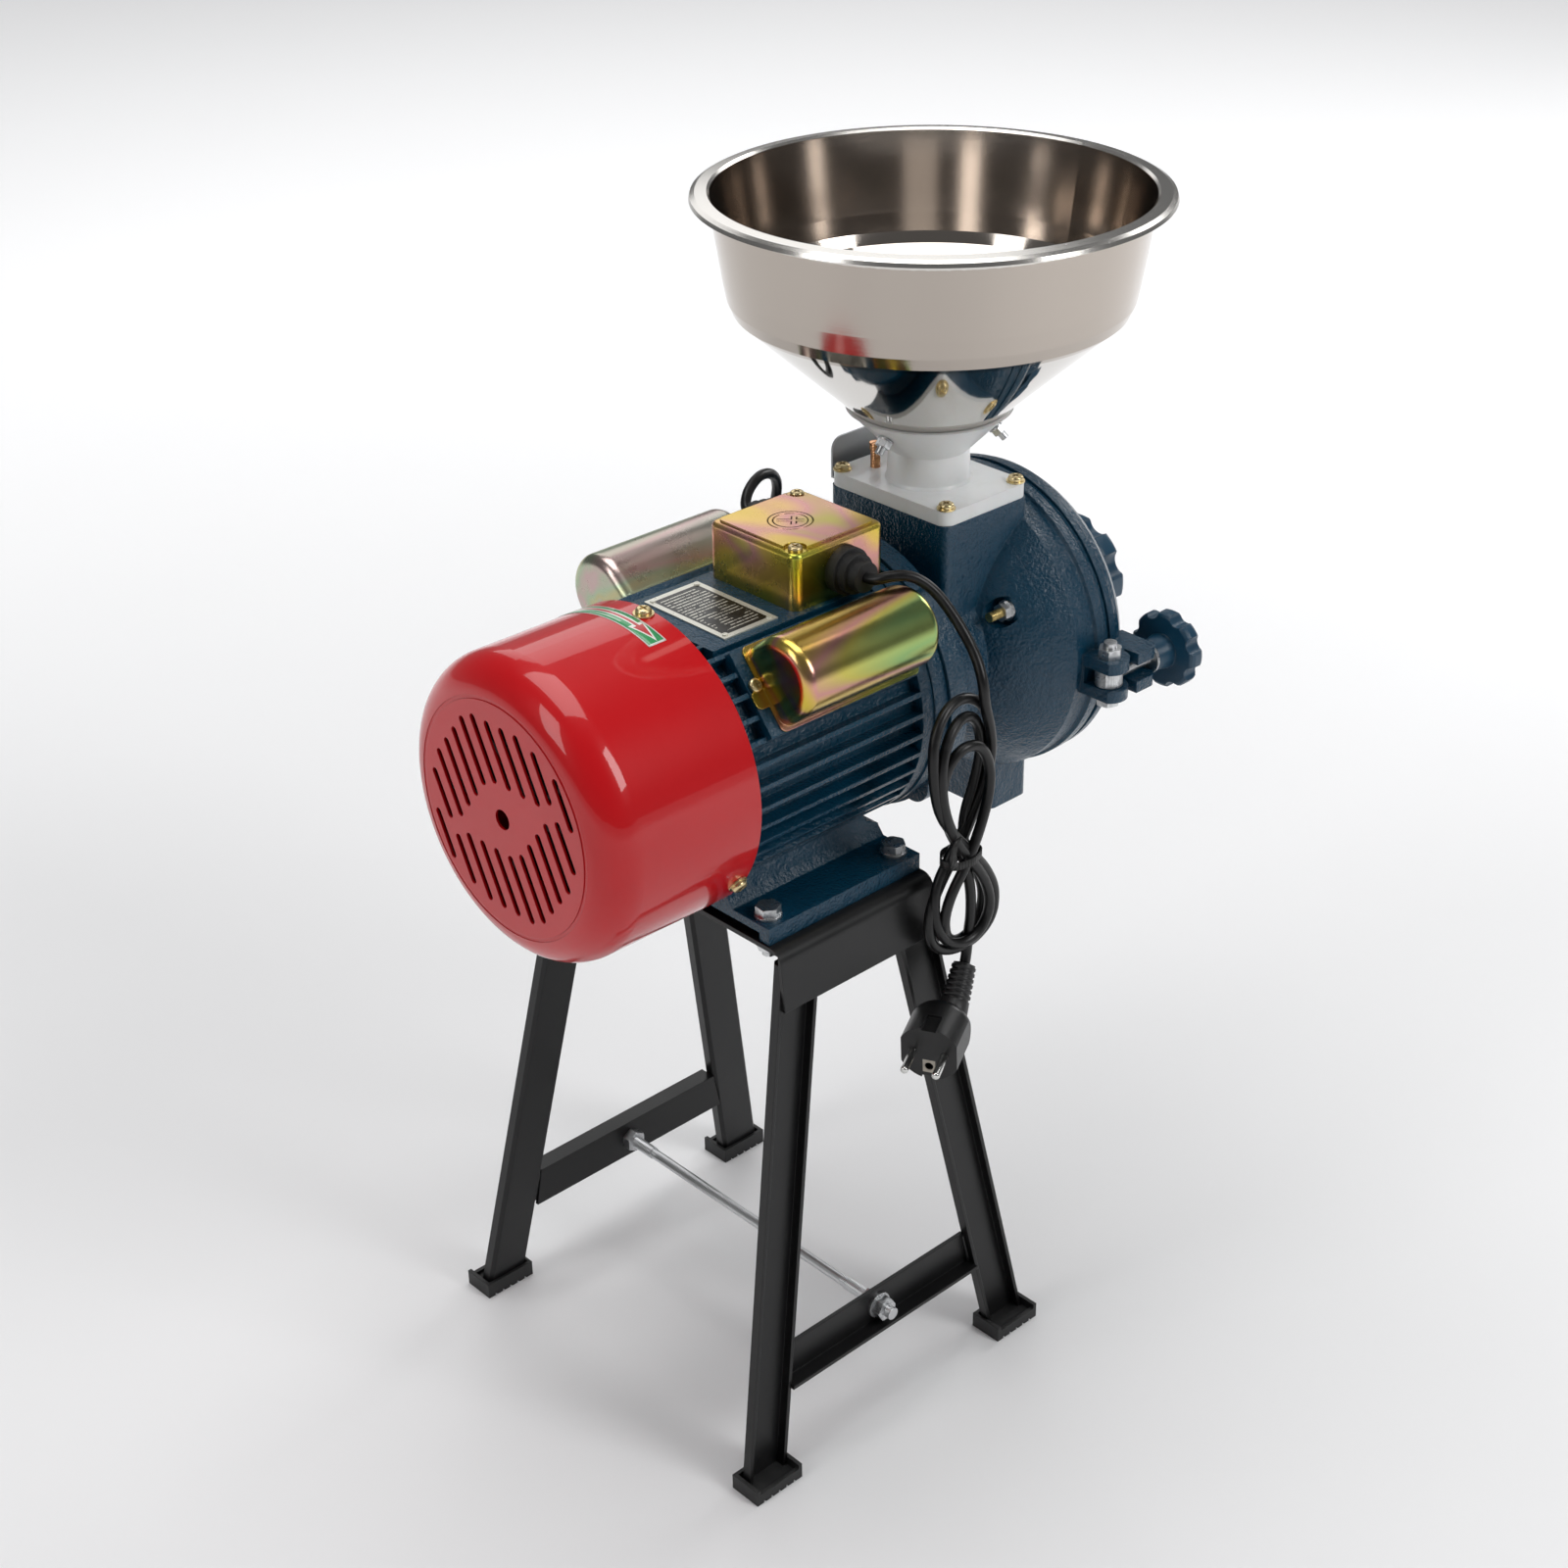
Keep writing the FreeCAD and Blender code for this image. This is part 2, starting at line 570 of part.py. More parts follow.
def windings():
    """The two end turns of the stator winding, rounded like laced bundles."""
    out = []
    for sx in (-1, 1):
        face = STATOR_MID + sx * STATOR_LEN / 2
        prof = [(face, ROTOR_R + 4), (face, 60), (face + sx * 14, 60), (face + sx * 20, 56),
                (face + sx * 20, ROTOR_R + 8), (face + sx * 14, ROTOR_R + 4)]
        out.append(turned_x(prof))
    return out


def motor_shaft():
    rear0 = BODY_X0 - SHIELD_T
    front1 = FLANGE_X0
    prof = [(FAN_X0 - 3, 0), (FAN_X0 - 3, 8), (rear0 - 8, 8), (rear0 - 8, JOURNAL_R - RUN_FIT),
            (rear0 + BEARING_W + 2, JOURNAL_R - RUN_FIT), (rear0 + BEARING_W + 2, SHAFT_R),
            (front1 - BEARING_W - 2, SHAFT_R), (front1 - BEARING_W - 2, JOURNAL_R - RUN_FIT),
            (front1 + 4, JOURNAL_R - RUN_FIT), (front1 + 4, MILL_SHAFT_R),
            (DISC_X0 + 4, MILL_SHAFT_R), (DISC_X0 + 4, 0)]
    return turned_x(prof)


def rotor_core():
    half = STATOR_LEN / 2
    body = ring_x(STATOR_MID - half, STATOR_MID + half, ROTOR_R, SHAFT_R)
    rings = [ring_x(STATOR_MID - half - 7, STATOR_MID - half + 0.5, ROTOR_R - 3, ROTOR_R - 13),
             ring_x(STATOR_MID + half - 0.5, STATOR_MID + half + 7, ROTOR_R - 3, ROTOR_R - 13)]
    return join([body] + rings)


def cooling_fan():
    hub = cyl_x(FAN_X0, FAN_X1, 16)
    disc = cyl_x(FAN_X1 - 3, FAN_X1, FAN_R - 8)
    solids = [hub, disc]
    for i in range(7):
        blade = box(FAN_X0, FAN_X1, -1.4, 1.4, AXIS_Z + 12, AXIS_Z + FAN_R)
        blade = blade.common(cyl_x(FAN_X0, FAN_X1, FAN_R))
        solids.append(spin_x(blade, 360.0 / 7 * i))
    return join(solids).cut(cyl_x(FAN_X0 - 1, FAN_X1 + 1, 8))


def slot_cutter(q, s, length):
    """One rounded slot through the cowl's face at q across and s along the tilt."""
    half = (length - SLOT_WIDTH) / 2
    r = SLOT_WIDTH / 2
    bar = box(COWL_FACE - 2, COWL_FACE + 4, q - r, q + r, AXIS_Z + s - half, AXIS_Z + s + half)
    tips = [cyl_x(COWL_FACE - 2, COWL_FACE + 4, r, q, AXIS_Z + s + e * half) for e in (-1, 1)]
    return bar.multiFuse(tips)


def fan_cowl():
    """Pressed cowl: deep rounded front edge, shallow sunk face and two banks of slots."""
    r, e, t = COWL_R, COWL_EDGE_R, COWL_T
    x0 = COWL_FACE

    def skin(off):
        rr, ee, xx = r - off, e - off, x0 + off
        c45 = math.cos(math.radians(45))
        a = V(xx + ee + off * 0, 0, AXIS_Z + rr)
        m = V(xx + ee - ee * c45, 0, AXIS_Z + rr - ee + ee * c45)
        b = V(xx, 0, AXIS_Z + rr - ee)
        return a, m, b

    oa, om, ob = skin(0.0)
    ia, im, ib = skin(t)
    end_o = V(COWL_OPEN, 0, AXIS_Z + r)
    end_i = V(COWL_OPEN, 0, AXIS_Z + r - t)
    c_o = V(x0, 0, AXIS_Z)
    c_i = V(x0 + t, 0, AXIS_Z)
    edges = [Part.LineSegment(end_o, oa), Part.Arc(oa, om, ob), Part.LineSegment(ob, c_o),
             Part.LineSegment(c_o, c_i), Part.LineSegment(c_i, ib), Part.Arc(ib, im, ia),
             Part.LineSegment(ia, end_i), Part.LineSegment(end_i, end_o)]
    shell = Part.Face(Part.Wire([g.toShape() for g in edges])).revolve(CENTRE, X_AXIS, 360)
    face_r = r - e
    shell = shell.cut(ring_x(x0 - 1, x0 + 0.6, face_r + 3.4, face_r + 1.4))
    tools = [cyl_x(x0 - 2, x0 + 5, COWL_HOLE_R)]
    bank = []
    half = SLOT_COUNT // 2
    for i in range(SLOT_COUNT):
        q = (half - 0.5 - i) * SLOT_PITCH
        length = SLOT_LEN if abs(q) < 45 else SLOT_LEN * 0.75
        s = 43.0 - 0.46 * abs(q)
        if i == SLOT_COUNT - 1:
            s = 3.5
        bank.append(slot_cutter(q, s, length))
    bank = Part.makeCompound(bank)
    for turn in (0, 180):
        tools.append(spin_x(bank, turn - SLOT_TILT))
    for angle in COWL_SCREW_ANGLES:
        tools.append(spin_x(cyl_z(AXIS_Z + r - 5, AXIS_Z + r + 5, 2.7, COWL_SCREW_X, 0), angle - 90.0))
    return shell.cut(Part.makeCompound(tools))


def cowl_screws():
    out = []
    for angle in COWL_SCREW_ANGLES:
        washer = cyl_z(AXIS_Z + COWL_R, AXIS_Z + COWL_R + 1.0, 6.0, COWL_SCREW_X, 0)
        screw = pan_screw((COWL_SCREW_X, 0, AXIS_Z + COWL_R + 0.8), (0, 0, 1), 4.6, 3.2, 2.5, 9.5)
        out.append(spin_x(join([washer, screw]), angle - 90.0))
    return out


def nameplate():
    plate = box(-36, 4, -34, 34, PAD_TOP, PAD_TOP + 0.8)
    rivets = []
    for x in (-32.5, 0.5):
        for y in (-30.5, 30.5):
            rivets.append(cyl_z(PAD_TOP + 0.5, PAD_TOP + 1.6, 1.6, x, y))
    return join([plate] + rivets)


def rounded_box(x0, x1, y0, y1, z0, z1, r):
    body = box(x0, x1, y0, y1, z0, z1)
    uprights = [e for e in body.Edges if e.BoundBox.ZLength > (z1 - z0) * 0.9]
    return body.makeFillet(r, uprights)


def terminal_cover():
    """Drawn steel lid with a raised panel and two sunk corners for its screws."""
    x0, x1 = BOX_MID_X - BOX_HALF_X, BOX_MID_X + BOX_HALF_X
    y = BOX_HALF_Y
    outer = rounded_box(x0, x1, -y, y, PAD_TOP, BOX_TOP - 1.2, 6.0)
    top = [e for e in outer.Edges if abs(e.BoundBox.ZMin - (BOX_TOP - 1.2)) < 1e-4]
    outer = outer.makeFillet(3.0, top)
    panel = rounded_box(x0 + 4, x1 - 4, -y + 4, y - 4, BOX_TOP - 3, BOX_TOP, 4.0)
    outer = join([outer, panel])
    t = SHEET_T
    inner = rounded_box(x0 + t, x1 - t, -y + t, y - t, PAD_TOP - 1, BOX_TOP - 1.2 - t, 4.5)
    lid = outer.cut(inner)
    for sx in (-1, 1):
        cx, cy = BOX_MID_X + sx * (BOX_HALF_X - 8), sx * (BOX_HALF_Y - 8)
        lid = lid.cut(cyl_z(BOX_TOP - 1.6, BOX_TOP + 1, 6.5, cx, cy))
        lid = lid.cut(cyl_z(BOX_TOP - 6, BOX_TOP + 1, 2.2, cx, cy))
    for sy in (-1, 1):
        lo, hi = sorted((sy * (y - t - 3), sy * (y + 1)))
        lid = lid.cut(cyl_y(lo, hi, 8.0, gland_x(sy), GLAND_Z))
    return lid


def terminal_screws():
    out = []
    for sx in (-1, 1):
        cx, cy = BOX_MID_X + sx * (BOX_HALF_X - 8), sx * (BOX_HALF_Y - 8)
        out.append(pan_screw((cx, cy, BOX_TOP - 1.6), (0, 0, 1), 4.2, 2.6, 1.9, BOX_TOP - 1.6 - PAD_TOP + 7))
    return out


def terminal_block():
    block = box(BOX_MID_X - 20, BOX_MID_X + 20, -14, 14, PAD_TOP, PAD_TOP + 12)
    studs = []
    for ix in (-1, 0, 1):
        for iy in (-1, 1):
            studs.append(cyl_z(PAD_TOP + 11, PAD_TOP + 20, 2.0, BOX_MID_X + ix * 13, iy * 7))
    return join([block] + studs)


def gland_x(sy):
    return GLAND_X if sy < 0 else LEAD_GLAND_X


def gland(sy):
    """Stepped rubber grommet gripping the box wall, its underside cut flat."""
    y = BOX_HALF_Y
    x = gland_x(sy)
    steps = [(y - SHEET_T - 2.5, y - SHEET_T, 9.5), (y - SHEET_T - 0.5, y + 0.5, 7.9),
             (y, y + 7, GLAND_R), (y + 6.5, y + 12.5, GLAND_STEP_R + 1.3),
              (y + 12, y + GLAND_REACH, GLAND_STEP_R - 1.5)]
    solids = []
    for a, b, r in steps:
        lo, hi = sorted((sy * a, sy * b))
        solids.append(cyl_y(lo, hi, r, x, GLAND_Z))
    body = join(solids)
    y0, y1 = sorted((sy * (y - 5), sy * (y + 30)))
    return body.cut(box(x - 30, x + 30, y0, y1, PAD_TOP - 20, PAD_TOP + 0.5))


def d_prism(x0, x1, half_w, wall_h, r_top):
    """Solid with a half-round top: flat base at the seat, built above the shaft."""
    base = AXIS_Z + CAP_SEAT
    p = [V(x0, -half_w, base), V(x0, -half_w, base + wall_h), V(x0, 0, base + wall_h + r_top),
         V(x0, half_w, base + wall_h), V(x0, half_w, base)]
    edges = [Part.LineSegment(p[0], p[1]), Part.Arc(p[1], p[2], p[3]),
             Part.LineSegment(p[3], p[4]), Part.LineSegment(p[4], p[0])]
    face = Part.Face(Part.Wire([g.toShape() for g in edges]))
    return face.extrude(V(x1 - x0, 0, 0))


def capacitor_cover(sy):
    """Drawn half-round cover with a narrow base rim and one screwed ear."""
    t = SHEET_T
    outer = d_prism(CAP_X0, CAP_X1, CAP_HALF_W, CAP_WALL_H, CAP_HALF_W)
    ends = [e for e in outer.Edges if e.BoundBox.XLength < 1e-6 and e.BoundBox.ZMax > AXIS_Z + CAP_SEAT + 1]
    outer = outer.makeFillet(7.0, ends)
    w = CAP_HALF_W - t
    inner = d_prism(CAP_X0 + t, CAP_X1 - t, w, CAP_WALL_H, w)
    ends = [e for e in inner.Edges if e.BoundBox.XLength < 1e-6 and e.BoundBox.ZMax > AXIS_Z + CAP_SEAT + 1]
    inner = inner.makeFillet(6.0, ends)
    base = AXIS_Z + CAP_SEAT
    rim = rounded_box(CAP_X0 - 1.5, CAP_X1 + 1.5, -CAP_HALF_W - 2, CAP_HALF_W + 2, base, base + t, 4.0)
    tab = rounded_box(CAP_X0 - 9.5, CAP_X0 + 6, -4.0 - 5.5, -4.0 + 5.5, base, base + t, 4.0)
    body = join([outer, rim, tab]).cut(inner)
    body = body.cut(box(CAP_X0 + 5, CAP_X1 - 5, -w + 4, w - 4, base - 1, base + t + 1))
    body = flank_frame(mirror_y(body, sy), sy)
    p, n = cap_screw_at(sy)
    return body.cut(Part.makeCylinder(2.2, 10, p - n * 5, n))


def mirror_y(shape, sy):
    return shape if sy < 0 else shape.mirror(V(0, 0, 0), V(0, 1, 0))


def capacitor_screws():
    out = []
    for sy in (-1, 1):
        p, n = cap_screw_at(sy)
        seat = p + n * SHEET_T
        out.append(pan_screw((seat.x, seat.y, seat.z), (n.x, n.y, n.z), 4.0, 2.6, 2.0, 9.5))
    return out


def capacitors():
    out = []
    for sy in (-1, 1):
        can = cyl_x(CAP_X0 + 12, CAP_X1 - 16, CAPACITOR_R, 0, AXIS_Z + CAP_SEAT + CAPACITOR_R)
        out.append(flank_frame(can, sy))
    return out




def switch_bracket():
    """Small angle that holds the switch box against the motor's front shield."""
    z0, z1 = SWITCH_Z0 + 10, SWITCH_Z1 - 10
    arm = box(PAD_X1 + 1.5, FLANGE_X0 - 1.5, 60, SWITCH_Y0 - 2, z0, z1)
    arm = arm.cut(cyl_x(PAD_X1 - 5, FLANGE_X0 + 5, FLANGE_R - 2))
    plate = box(SWITCH_X0 + 3, SWITCH_X1 - 3, SWITCH_Y0 - 2.5, SWITCH_Y0, z0 - 5, z1 + 5)
    return join([arm, plate.cut(cyl_x(0, 200, FLANGE_R + CLEAR))])


def switch_box():
    body = rounded_box(SWITCH_X0, SWITCH_X1, SWITCH_Y0, SWITCH_Y0 + SWITCH_DEPTH, SWITCH_Z0, SWITCH_Z1, 4.0)
    hood = cyl_z(SWITCH_Z1 - 1, LEAD_ROUTE[-1][2], 6.5, LEAD_ROUTE[-1][0], LEAD_ROUTE[-1][1])
    body = join([body, hood])
    x = (SWITCH_X0 + SWITCH_X1) / 2
    z = (SWITCH_Z0 + SWITCH_Z1) / 2
    y = SWITCH_Y0 + SWITCH_DEPTH
    return body.cut(box(x - 7.5, x + 7.5, y - 9, y + 1, z - 13, z + 13))


def rocker():
    """Rocker lying on its long side, tipped to the off position."""
    x = (SWITCH_X0 + SWITCH_X1) / 2
    z = (SWITCH_Z0 + SWITCH_Z1) / 2
    y = SWITCH_Y0 + SWITCH_DEPTH
    pts = [(x - 7, y - 3.5, z - 11.5), (x - 7, y + 0.5, z - 12), (x - 7, y + 1.2, z),
           (x - 7, y + 3.5, z + 11.2), (x - 7, y - 0.5, z + 11.8), (x - 7, y - 6, z)]
    body = prism(pts, (14, 0, 0))
    pin = cyl_x(x - 7.5 + CLEAR / 2, x + 7.5 - CLEAR / 2, 1.5, y - 2.5, z)
    return join([body, pin])


# --- mill --------------------------------------------------------------------------


def mill_housing():
    """Cast neck, feed box and grinding chamber in one piece, open to the cover."""
    x0, x1 = FLANGE_X0, FLANGE_X1
    p = [(x0, 0), (x0, FLANGE_R), (x1, FLANGE_R), (x1 + 3, FLANGE_R - 3), (x1 + 6, NECK_R + 4),
         (x1 + 11, NECK_R), (150, NECK_R)]
    rim = [(205, DRUM_R), (206, DRUM_R + 2), (213, DRUM_R + 2), (214.5, DRUM_R),
           (SPLIT_X, DRUM_R), (SPLIT_X, 0)]
    pts = [V(x, 0, AXIS_Z + r) for x, r in p]
    tail = [V(x, 0, AXIS_Z + r) for x, r in rim]
    a, b, c = V(150, 0, AXIS_Z + NECK_R), V(166.5, 0, AXIS_Z + 79.5), V(190, 0, AXIS_Z + DRUM_R)
    edges = [Part.LineSegment(pts[i], pts[i + 1]).toShape() for i in range(len(pts) - 1)]
    edges.append(Part.Arc(a, b, c).toShape())
    chain = [c] + tail + [pts[0]]
    edges += [Part.LineSegment(chain[i], chain[i + 1]).toShape() for i in range(len(chain) - 1)]
    body = Part.Face(Part.Wire(edges)).revolve(CENTRE, X_AXIS, 360)
    fx0, fx1 = FEED_X - FEED_HALF_X, FEED_X + FEED_HALF_X
    feed = rounded_box(fx0, fx1, -FEED_HALF_Y, FEED_HALF_Y, AXIS_Z, FEED_TOP, 5.0)
    spout = rounded_box(SPOUT_X0, SPLIT_X + 10, -SPOUT_HALF_Y, SPOUT_HALF_Y, SPOUT_Z0, AXIS_Z - 70, 6.0)
    spout = spout.common(box(0, SPLIT_X, -100, 100, 0, AXIS_Z))
    solids = [body, feed, spout]
    for angle in (45, 135, 225, 315):
        a = math.radians(angle)
        y, z = JOIN_BOLT_R * math.cos(a), AXIS_Z + JOIN_BOLT_R * math.sin(a)
        solids.append(cyl_x(x0, x1, 13, y, z))
    for side in (-1, 1):
        lug = lug_blank(LUG_X - 9.5, SPLIT_X - 0.4, side * LUG_Y, side)
        solids.append(lug)
    body = join(solids)
    wall = SPOUT_WALL
    tools = [cyl_x(CHAMBER_X0, SPLIT_X + 1, CHAMBER_R),
             cyl_x(x0 + 10, CHAMBER_X0 + 1, AUGER_BORE_R),
             cyl_x(x0 - 1, x0 + 11, BEARING_OR - 2),
             prism([(FEED_X - FEED_BORE_X, -FEED_BORE_Y, FEED_TOP + 1),
                    (FEED_X - FEED_BORE_X, FEED_BORE_Y, FEED_TOP + 1),
                    (FEED_X - FEED_BORE_X, FEED_BORE_Y, FEED_TOP - 20),
                    (FEED_X - FEED_BORE_X, AUGER_BORE_R - 2, AXIS_Z + 8),
                    (FEED_X - FEED_BORE_X, -AUGER_BORE_R + 2, AXIS_Z + 8),
                    (FEED_X - FEED_BORE_X, -FEED_BORE_Y, FEED_TOP - 20)], (FEED_BORE_X + 15, 0, 0)),
             box(FEED_X, FEED_X + FEED_BORE_X, -FEED_BORE_Y, FEED_BORE_Y, FEED_TOP - 20, FEED_TOP + 1),
             box(SPOUT_X0 + wall, SPLIT_X + 1, -SPOUT_HALF_Y + wall, SPOUT_HALF_Y - wall,
                 SPOUT_Z0 - 1, AXIS_Z - 60),
             box(FEED_X - GATE_HALF_X - CLEAR, FEED_X + GATE_HALF_X + CLEAR,
                 -FEED_BORE_Y - 4, FEED_HALF_Y + 1,
                 FEED_TOP - GATE_T - 0.5, FEED_TOP + 1)]
    for side in (-1, 1):
        tools += lug_cuts(side, side > 0)
    for angle in (45, 135, 225, 315):
        a = math.radians(angle)
        y, z = JOIN_BOLT_R * math.cos(a), AXIS_Z + JOIN_BOLT_R * math.sin(a)
        tools.append(cyl_x(x0 - 1, x1 + 1, 4.2, y, z))
        tools.append(cyl_x(x1, x1 + 9, 9.5, y, z))
    for angle in STUD_ANGLES:
        a = math.radians(angle)
        y, z = STUD_RING_R * math.cos(a), AXIS_Z + STUD_RING_R * math.sin(a)
        tools.append(cyl_x(140, STUD_SEAT, 9.0, y, z))
        tools.append(cyl_x(140, CHAMBER_X0 + 1, 3.2, y, z))
    for sx in (-1, 1):
        for sy in (-1, 1):
            tools.append(cyl_z(FEED_TOP - 14, FEED_TOP + 1, 2.5,
                               FEED_X + sx * ADAPTER_SCREW_X, sy * ADAPTER_SCREW_Y))
    return cut_all(body, tools)


def cut_all(body, tools):
    for tool in tools:
        body = body.cut(tool)
    return body




def lug_blank(x0, x1, y, side):
    """Rounded ear for a pin, running inward to the drum."""
    z0, z1 = LUG_Z - LUG_GAP / 2 - LUG_T, LUG_Z + LUG_GAP / 2 + LUG_T
    eye_x = min(max(LUG_X, x0), x1)
    inner = side * (DRUM_R - 6)
    lo, hi = sorted((y, inner))
    ear = box(x0, x1, lo, hi, z0, z1)
    nose = cyl_z(z0, z1, 12.0, eye_x, y).common(box(x0, x1, -300, 300, z0, z1))
    return ear.fuse(nose)


def lug_cuts(side, hinge):
    """Slot between the two ears and the pin hole through them."""
    y = side * LUG_Y
    half = LUG_GAP / 2
    reach = side * (DRUM_R + 1.2)
    lo, hi = sorted((reach, side * (LUG_Y + 20)))
    x_end = SPLIT_X + 1
    cut = box(LUG_X - 14, x_end, lo, hi, LUG_Z - half, LUG_Z + half)
    hole = cyl_z(LUG_Z - 30, LUG_Z + 30, PIN_R + 0.05, LUG_X, y)
    return [cut, hole]




def mill_cover():
    """Front plate with its spindle boss, half spout, clamp prongs and hinge tongue."""
    x0, x1 = SPLIT_X, COVER_X1
    p = [(x0, 0), (x0, DRUM_R + 1.5), (x0 + 5, DRUM_R + 1.5), (x0 + 6.5, DRUM_R), (x1 - 7, DRUM_R - 1),
         (x1 - 1.5, DRUM_R - 5), (x1, DRUM_R - 10), (x1 + 5, 46), (x1 + 9, 32), (x1 + 13, 27),
         (BOSS_X - 2, 24), (BOSS_X, 22), (BOSS_X, 0)]
    body = turned_x(p)
    ribs = []
    for i in range(4):
        rib = prism([(x1 - 4, -3, AXIS_Z + 18), (BOSS_X - 8, -3, AXIS_Z + 18), (x1 + 1, -3, AXIS_Z + 80),
                     (x1 - 4, -3, AXIS_Z + 80)], (0, 6, 0))
        ribs.append(spin_x(rib, 45 + 90 * i))
    spout = rounded_box(SPLIT_X - 10, SPOUT_X1, -SPOUT_HALF_Y, SPOUT_HALF_Y, SPOUT_Z0, AXIS_Z - 75, 6.0)
    spout = spout.common(box(SPLIT_X, 400, -100, 100, 0, AXIS_Z))
    z0, z1 = LUG_Z - LUG_GAP / 2 - LUG_T, LUG_Z + LUG_GAP / 2 + LUG_T
    prong = box(x0, PRONG_X1, -PRONG_Y, -DRUM_R + 6, z0, z1)
    outer = [e for e in prong.Edges if e.BoundBox.ZLength > 10 and e.BoundBox.XMax > PRONG_X1 - 0.1
             and e.BoundBox.YMin < -PRONG_Y + 0.1]
    prong = prong.makeFillet(6.0, outer)
    half = LUG_GAP / 2
    tongue = box(x0, x0 + 12, DRUM_R - 6, LUG_Y + 8, LUG_Z - half + 0.3, LUG_Z + half - 0.3)
    reach = box(LUG_X, x0 + 12, LUG_Y - 8, LUG_Y + 8, LUG_Z - half + 0.3, LUG_Z + half - 0.3)
    eye = cyl_z(LUG_Z - half + 0.3, LUG_Z + half - 0.3, 8.0, LUG_X, LUG_Y)
    body = join([body] + ribs + [spout, prong, tongue, reach, eye])
    wall = SPOUT_WALL
    tools = [cyl_x(x0 - 1, x0 + 9, CHAMBER_R),
             cyl_x(x0 - 1, x0 + 20, 20.0),
             cyl_x(x0 - 1, BOSS_X + 1, SPINDLE_R + 0.05),
             box(x0 - 1, SPOUT_X1 - wall, -SPOUT_HALF_Y + wall, SPOUT_HALF_Y - wall,
                 SPOUT_Z0 - 1, AXIS_Z - 76),
             box(x0 - 1, PRONG_X1 + 1, -PRONG_Y - 1, -DRUM_R - 2.5, LUG_Z - half, LUG_Z + half),
             cyl_z(LUG_Z - 30, LUG_Z + 30, PIN_R + 0.05, LUG_X, LUG_Y)]
    return cut_all(body, tools)




def burr(x0, face):
    """Ring with radial grinding teeth standing on one side; face is the toothed side."""
    lo, hi = sorted((x0, face))
    body = ring_x(lo, hi, BURR_R, BURR_HOLE_R)
    depth = 2.5 if face > x0 else -2.5
    c0, c1 = sorted((face, face - depth))
    cutter = box(c0, c1, -1.6, 1.6, AXIS_Z + 30, AXIS_Z + BURR_R + 2)
    grooves = [spin_x(cutter, 15.0 * i) for i in range(24)]
    return body.cut(Part.makeCompound(grooves))


def static_burr():
    body = burr(CHAMBER_X0, BURR_FACE)
    holes = []
    for angle in STUD_ANGLES:
        a = math.radians(angle)
        holes.append(cyl_x(CHAMBER_X0 - 1, CHAMBER_X0 + 8, 3.0,
                           STUD_RING_R * math.cos(a), AXIS_Z + STUD_RING_R * math.sin(a)))
    return cut_all(body, holes)


def burr_studs():
    out = []
    for angle in STUD_ANGLES:
        a = math.radians(angle)
        y, z = STUD_RING_R * math.cos(a), AXIS_Z + STUD_RING_R * math.sin(a)
        out.append(cyl_x(STUD_SEAT - 16, CHAMBER_X0 + 8, 3.0, y, z))
    return out


def burr_nuts():
    out = []
    for angle in STUD_ANGLES:
        a = math.radians(angle)
        y, z = STUD_RING_R * math.cos(a), AXIS_Z + STUD_RING_R * math.sin(a)
        washer = cyl_x(STUD_SEAT - 1.6, STUD_SEAT, 6.4, y, z)
        nut = hex_prism(10.0, 5.0, (STUD_SEAT - 1.5, y, z), (-1, 0, 0), 10)
        out.append(join([washer, nut]).cut(cyl_x(140, CHAMBER_X0, 3.0, y, z)))
    return out


def runner_burr():
    return burr(DISC_X0, RUNNER_X0)


def drive_disc():
    """Disc keyed on the shaft end that carries the runner burr on its back."""
    body = join([cyl_x(DISC_X0, DISC_X1, BURR_R - 4), cyl_x(DISC_X0 - 6, DISC_X1 + 6, 20.0)])
    body = body.cut(cyl_x(DISC_X0 - 7, DISC_X0 + 10, MILL_SHAFT_R + 0.05))
    return body


def feed_auger():
    """Worm that draws grain from the feed box to the eye of the burrs."""
    x0, x1 = FEED_X - FEED_BORE_X - 2, RUNNER_X0 - 3
    sleeve = ring_x(x0, x1, MILL_SHAFT_R + 3, MILL_SHAFT_R)
    pitch = 22.0
    turns = (x1 - x0 - 6) / pitch
    helix = Part.makeHelix(pitch, pitch * turns, MILL_SHAFT_R + 2)
    r0, r1, t = MILL_SHAFT_R + 2, AUGER_R, 3.2
    corners = [V(r0, 0, -t / 2), V(r1, 0, -t / 2), V(r1, 0, t / 2), V(r0, 0, t / 2)]
    profile = Part.makePolygon(corners + corners[:1])
    flight = Part.Wire(helix.Edges).makePipeShell([Part.Wire(profile.Edges)], True, True)
    flight.Placement = FreeCAD.Placement(V(x0 + 3, 0, AXIS_Z), FreeCAD.Rotation(Z_AXIS, X_AXIS))
    flight = Part.makeSolid(flight) if flight.ShapeType != "Solid" else flight
    if flight.Volume < 0:
        flight.reverse()
    return sleeve.fuse(flight)


def join_bolts():
    """Hex bolts through the mill flange into the motor's front shield."""
    out = []
    for angle in (45, 135, 225, 315):
        a = math.radians(angle)
        y, z = JOIN_BOLT_R * math.cos(a), AXIS_Z + JOIN_BOLT_R * math.sin(a)
        washer = cyl_x(FLANGE_X1, FLANGE_X1 + 1.6, 8.0, y, z)
        head = hex_prism(13.0, 5.3, (FLANGE_X1 + 1.5, y, z), (1, 0, 0), angle)
        shank = cyl_x(PAD_X1 + 2, FLANGE_X1 + 1, 4.0, y, z)
        out.append(join([washer, head, shank]))
    return out


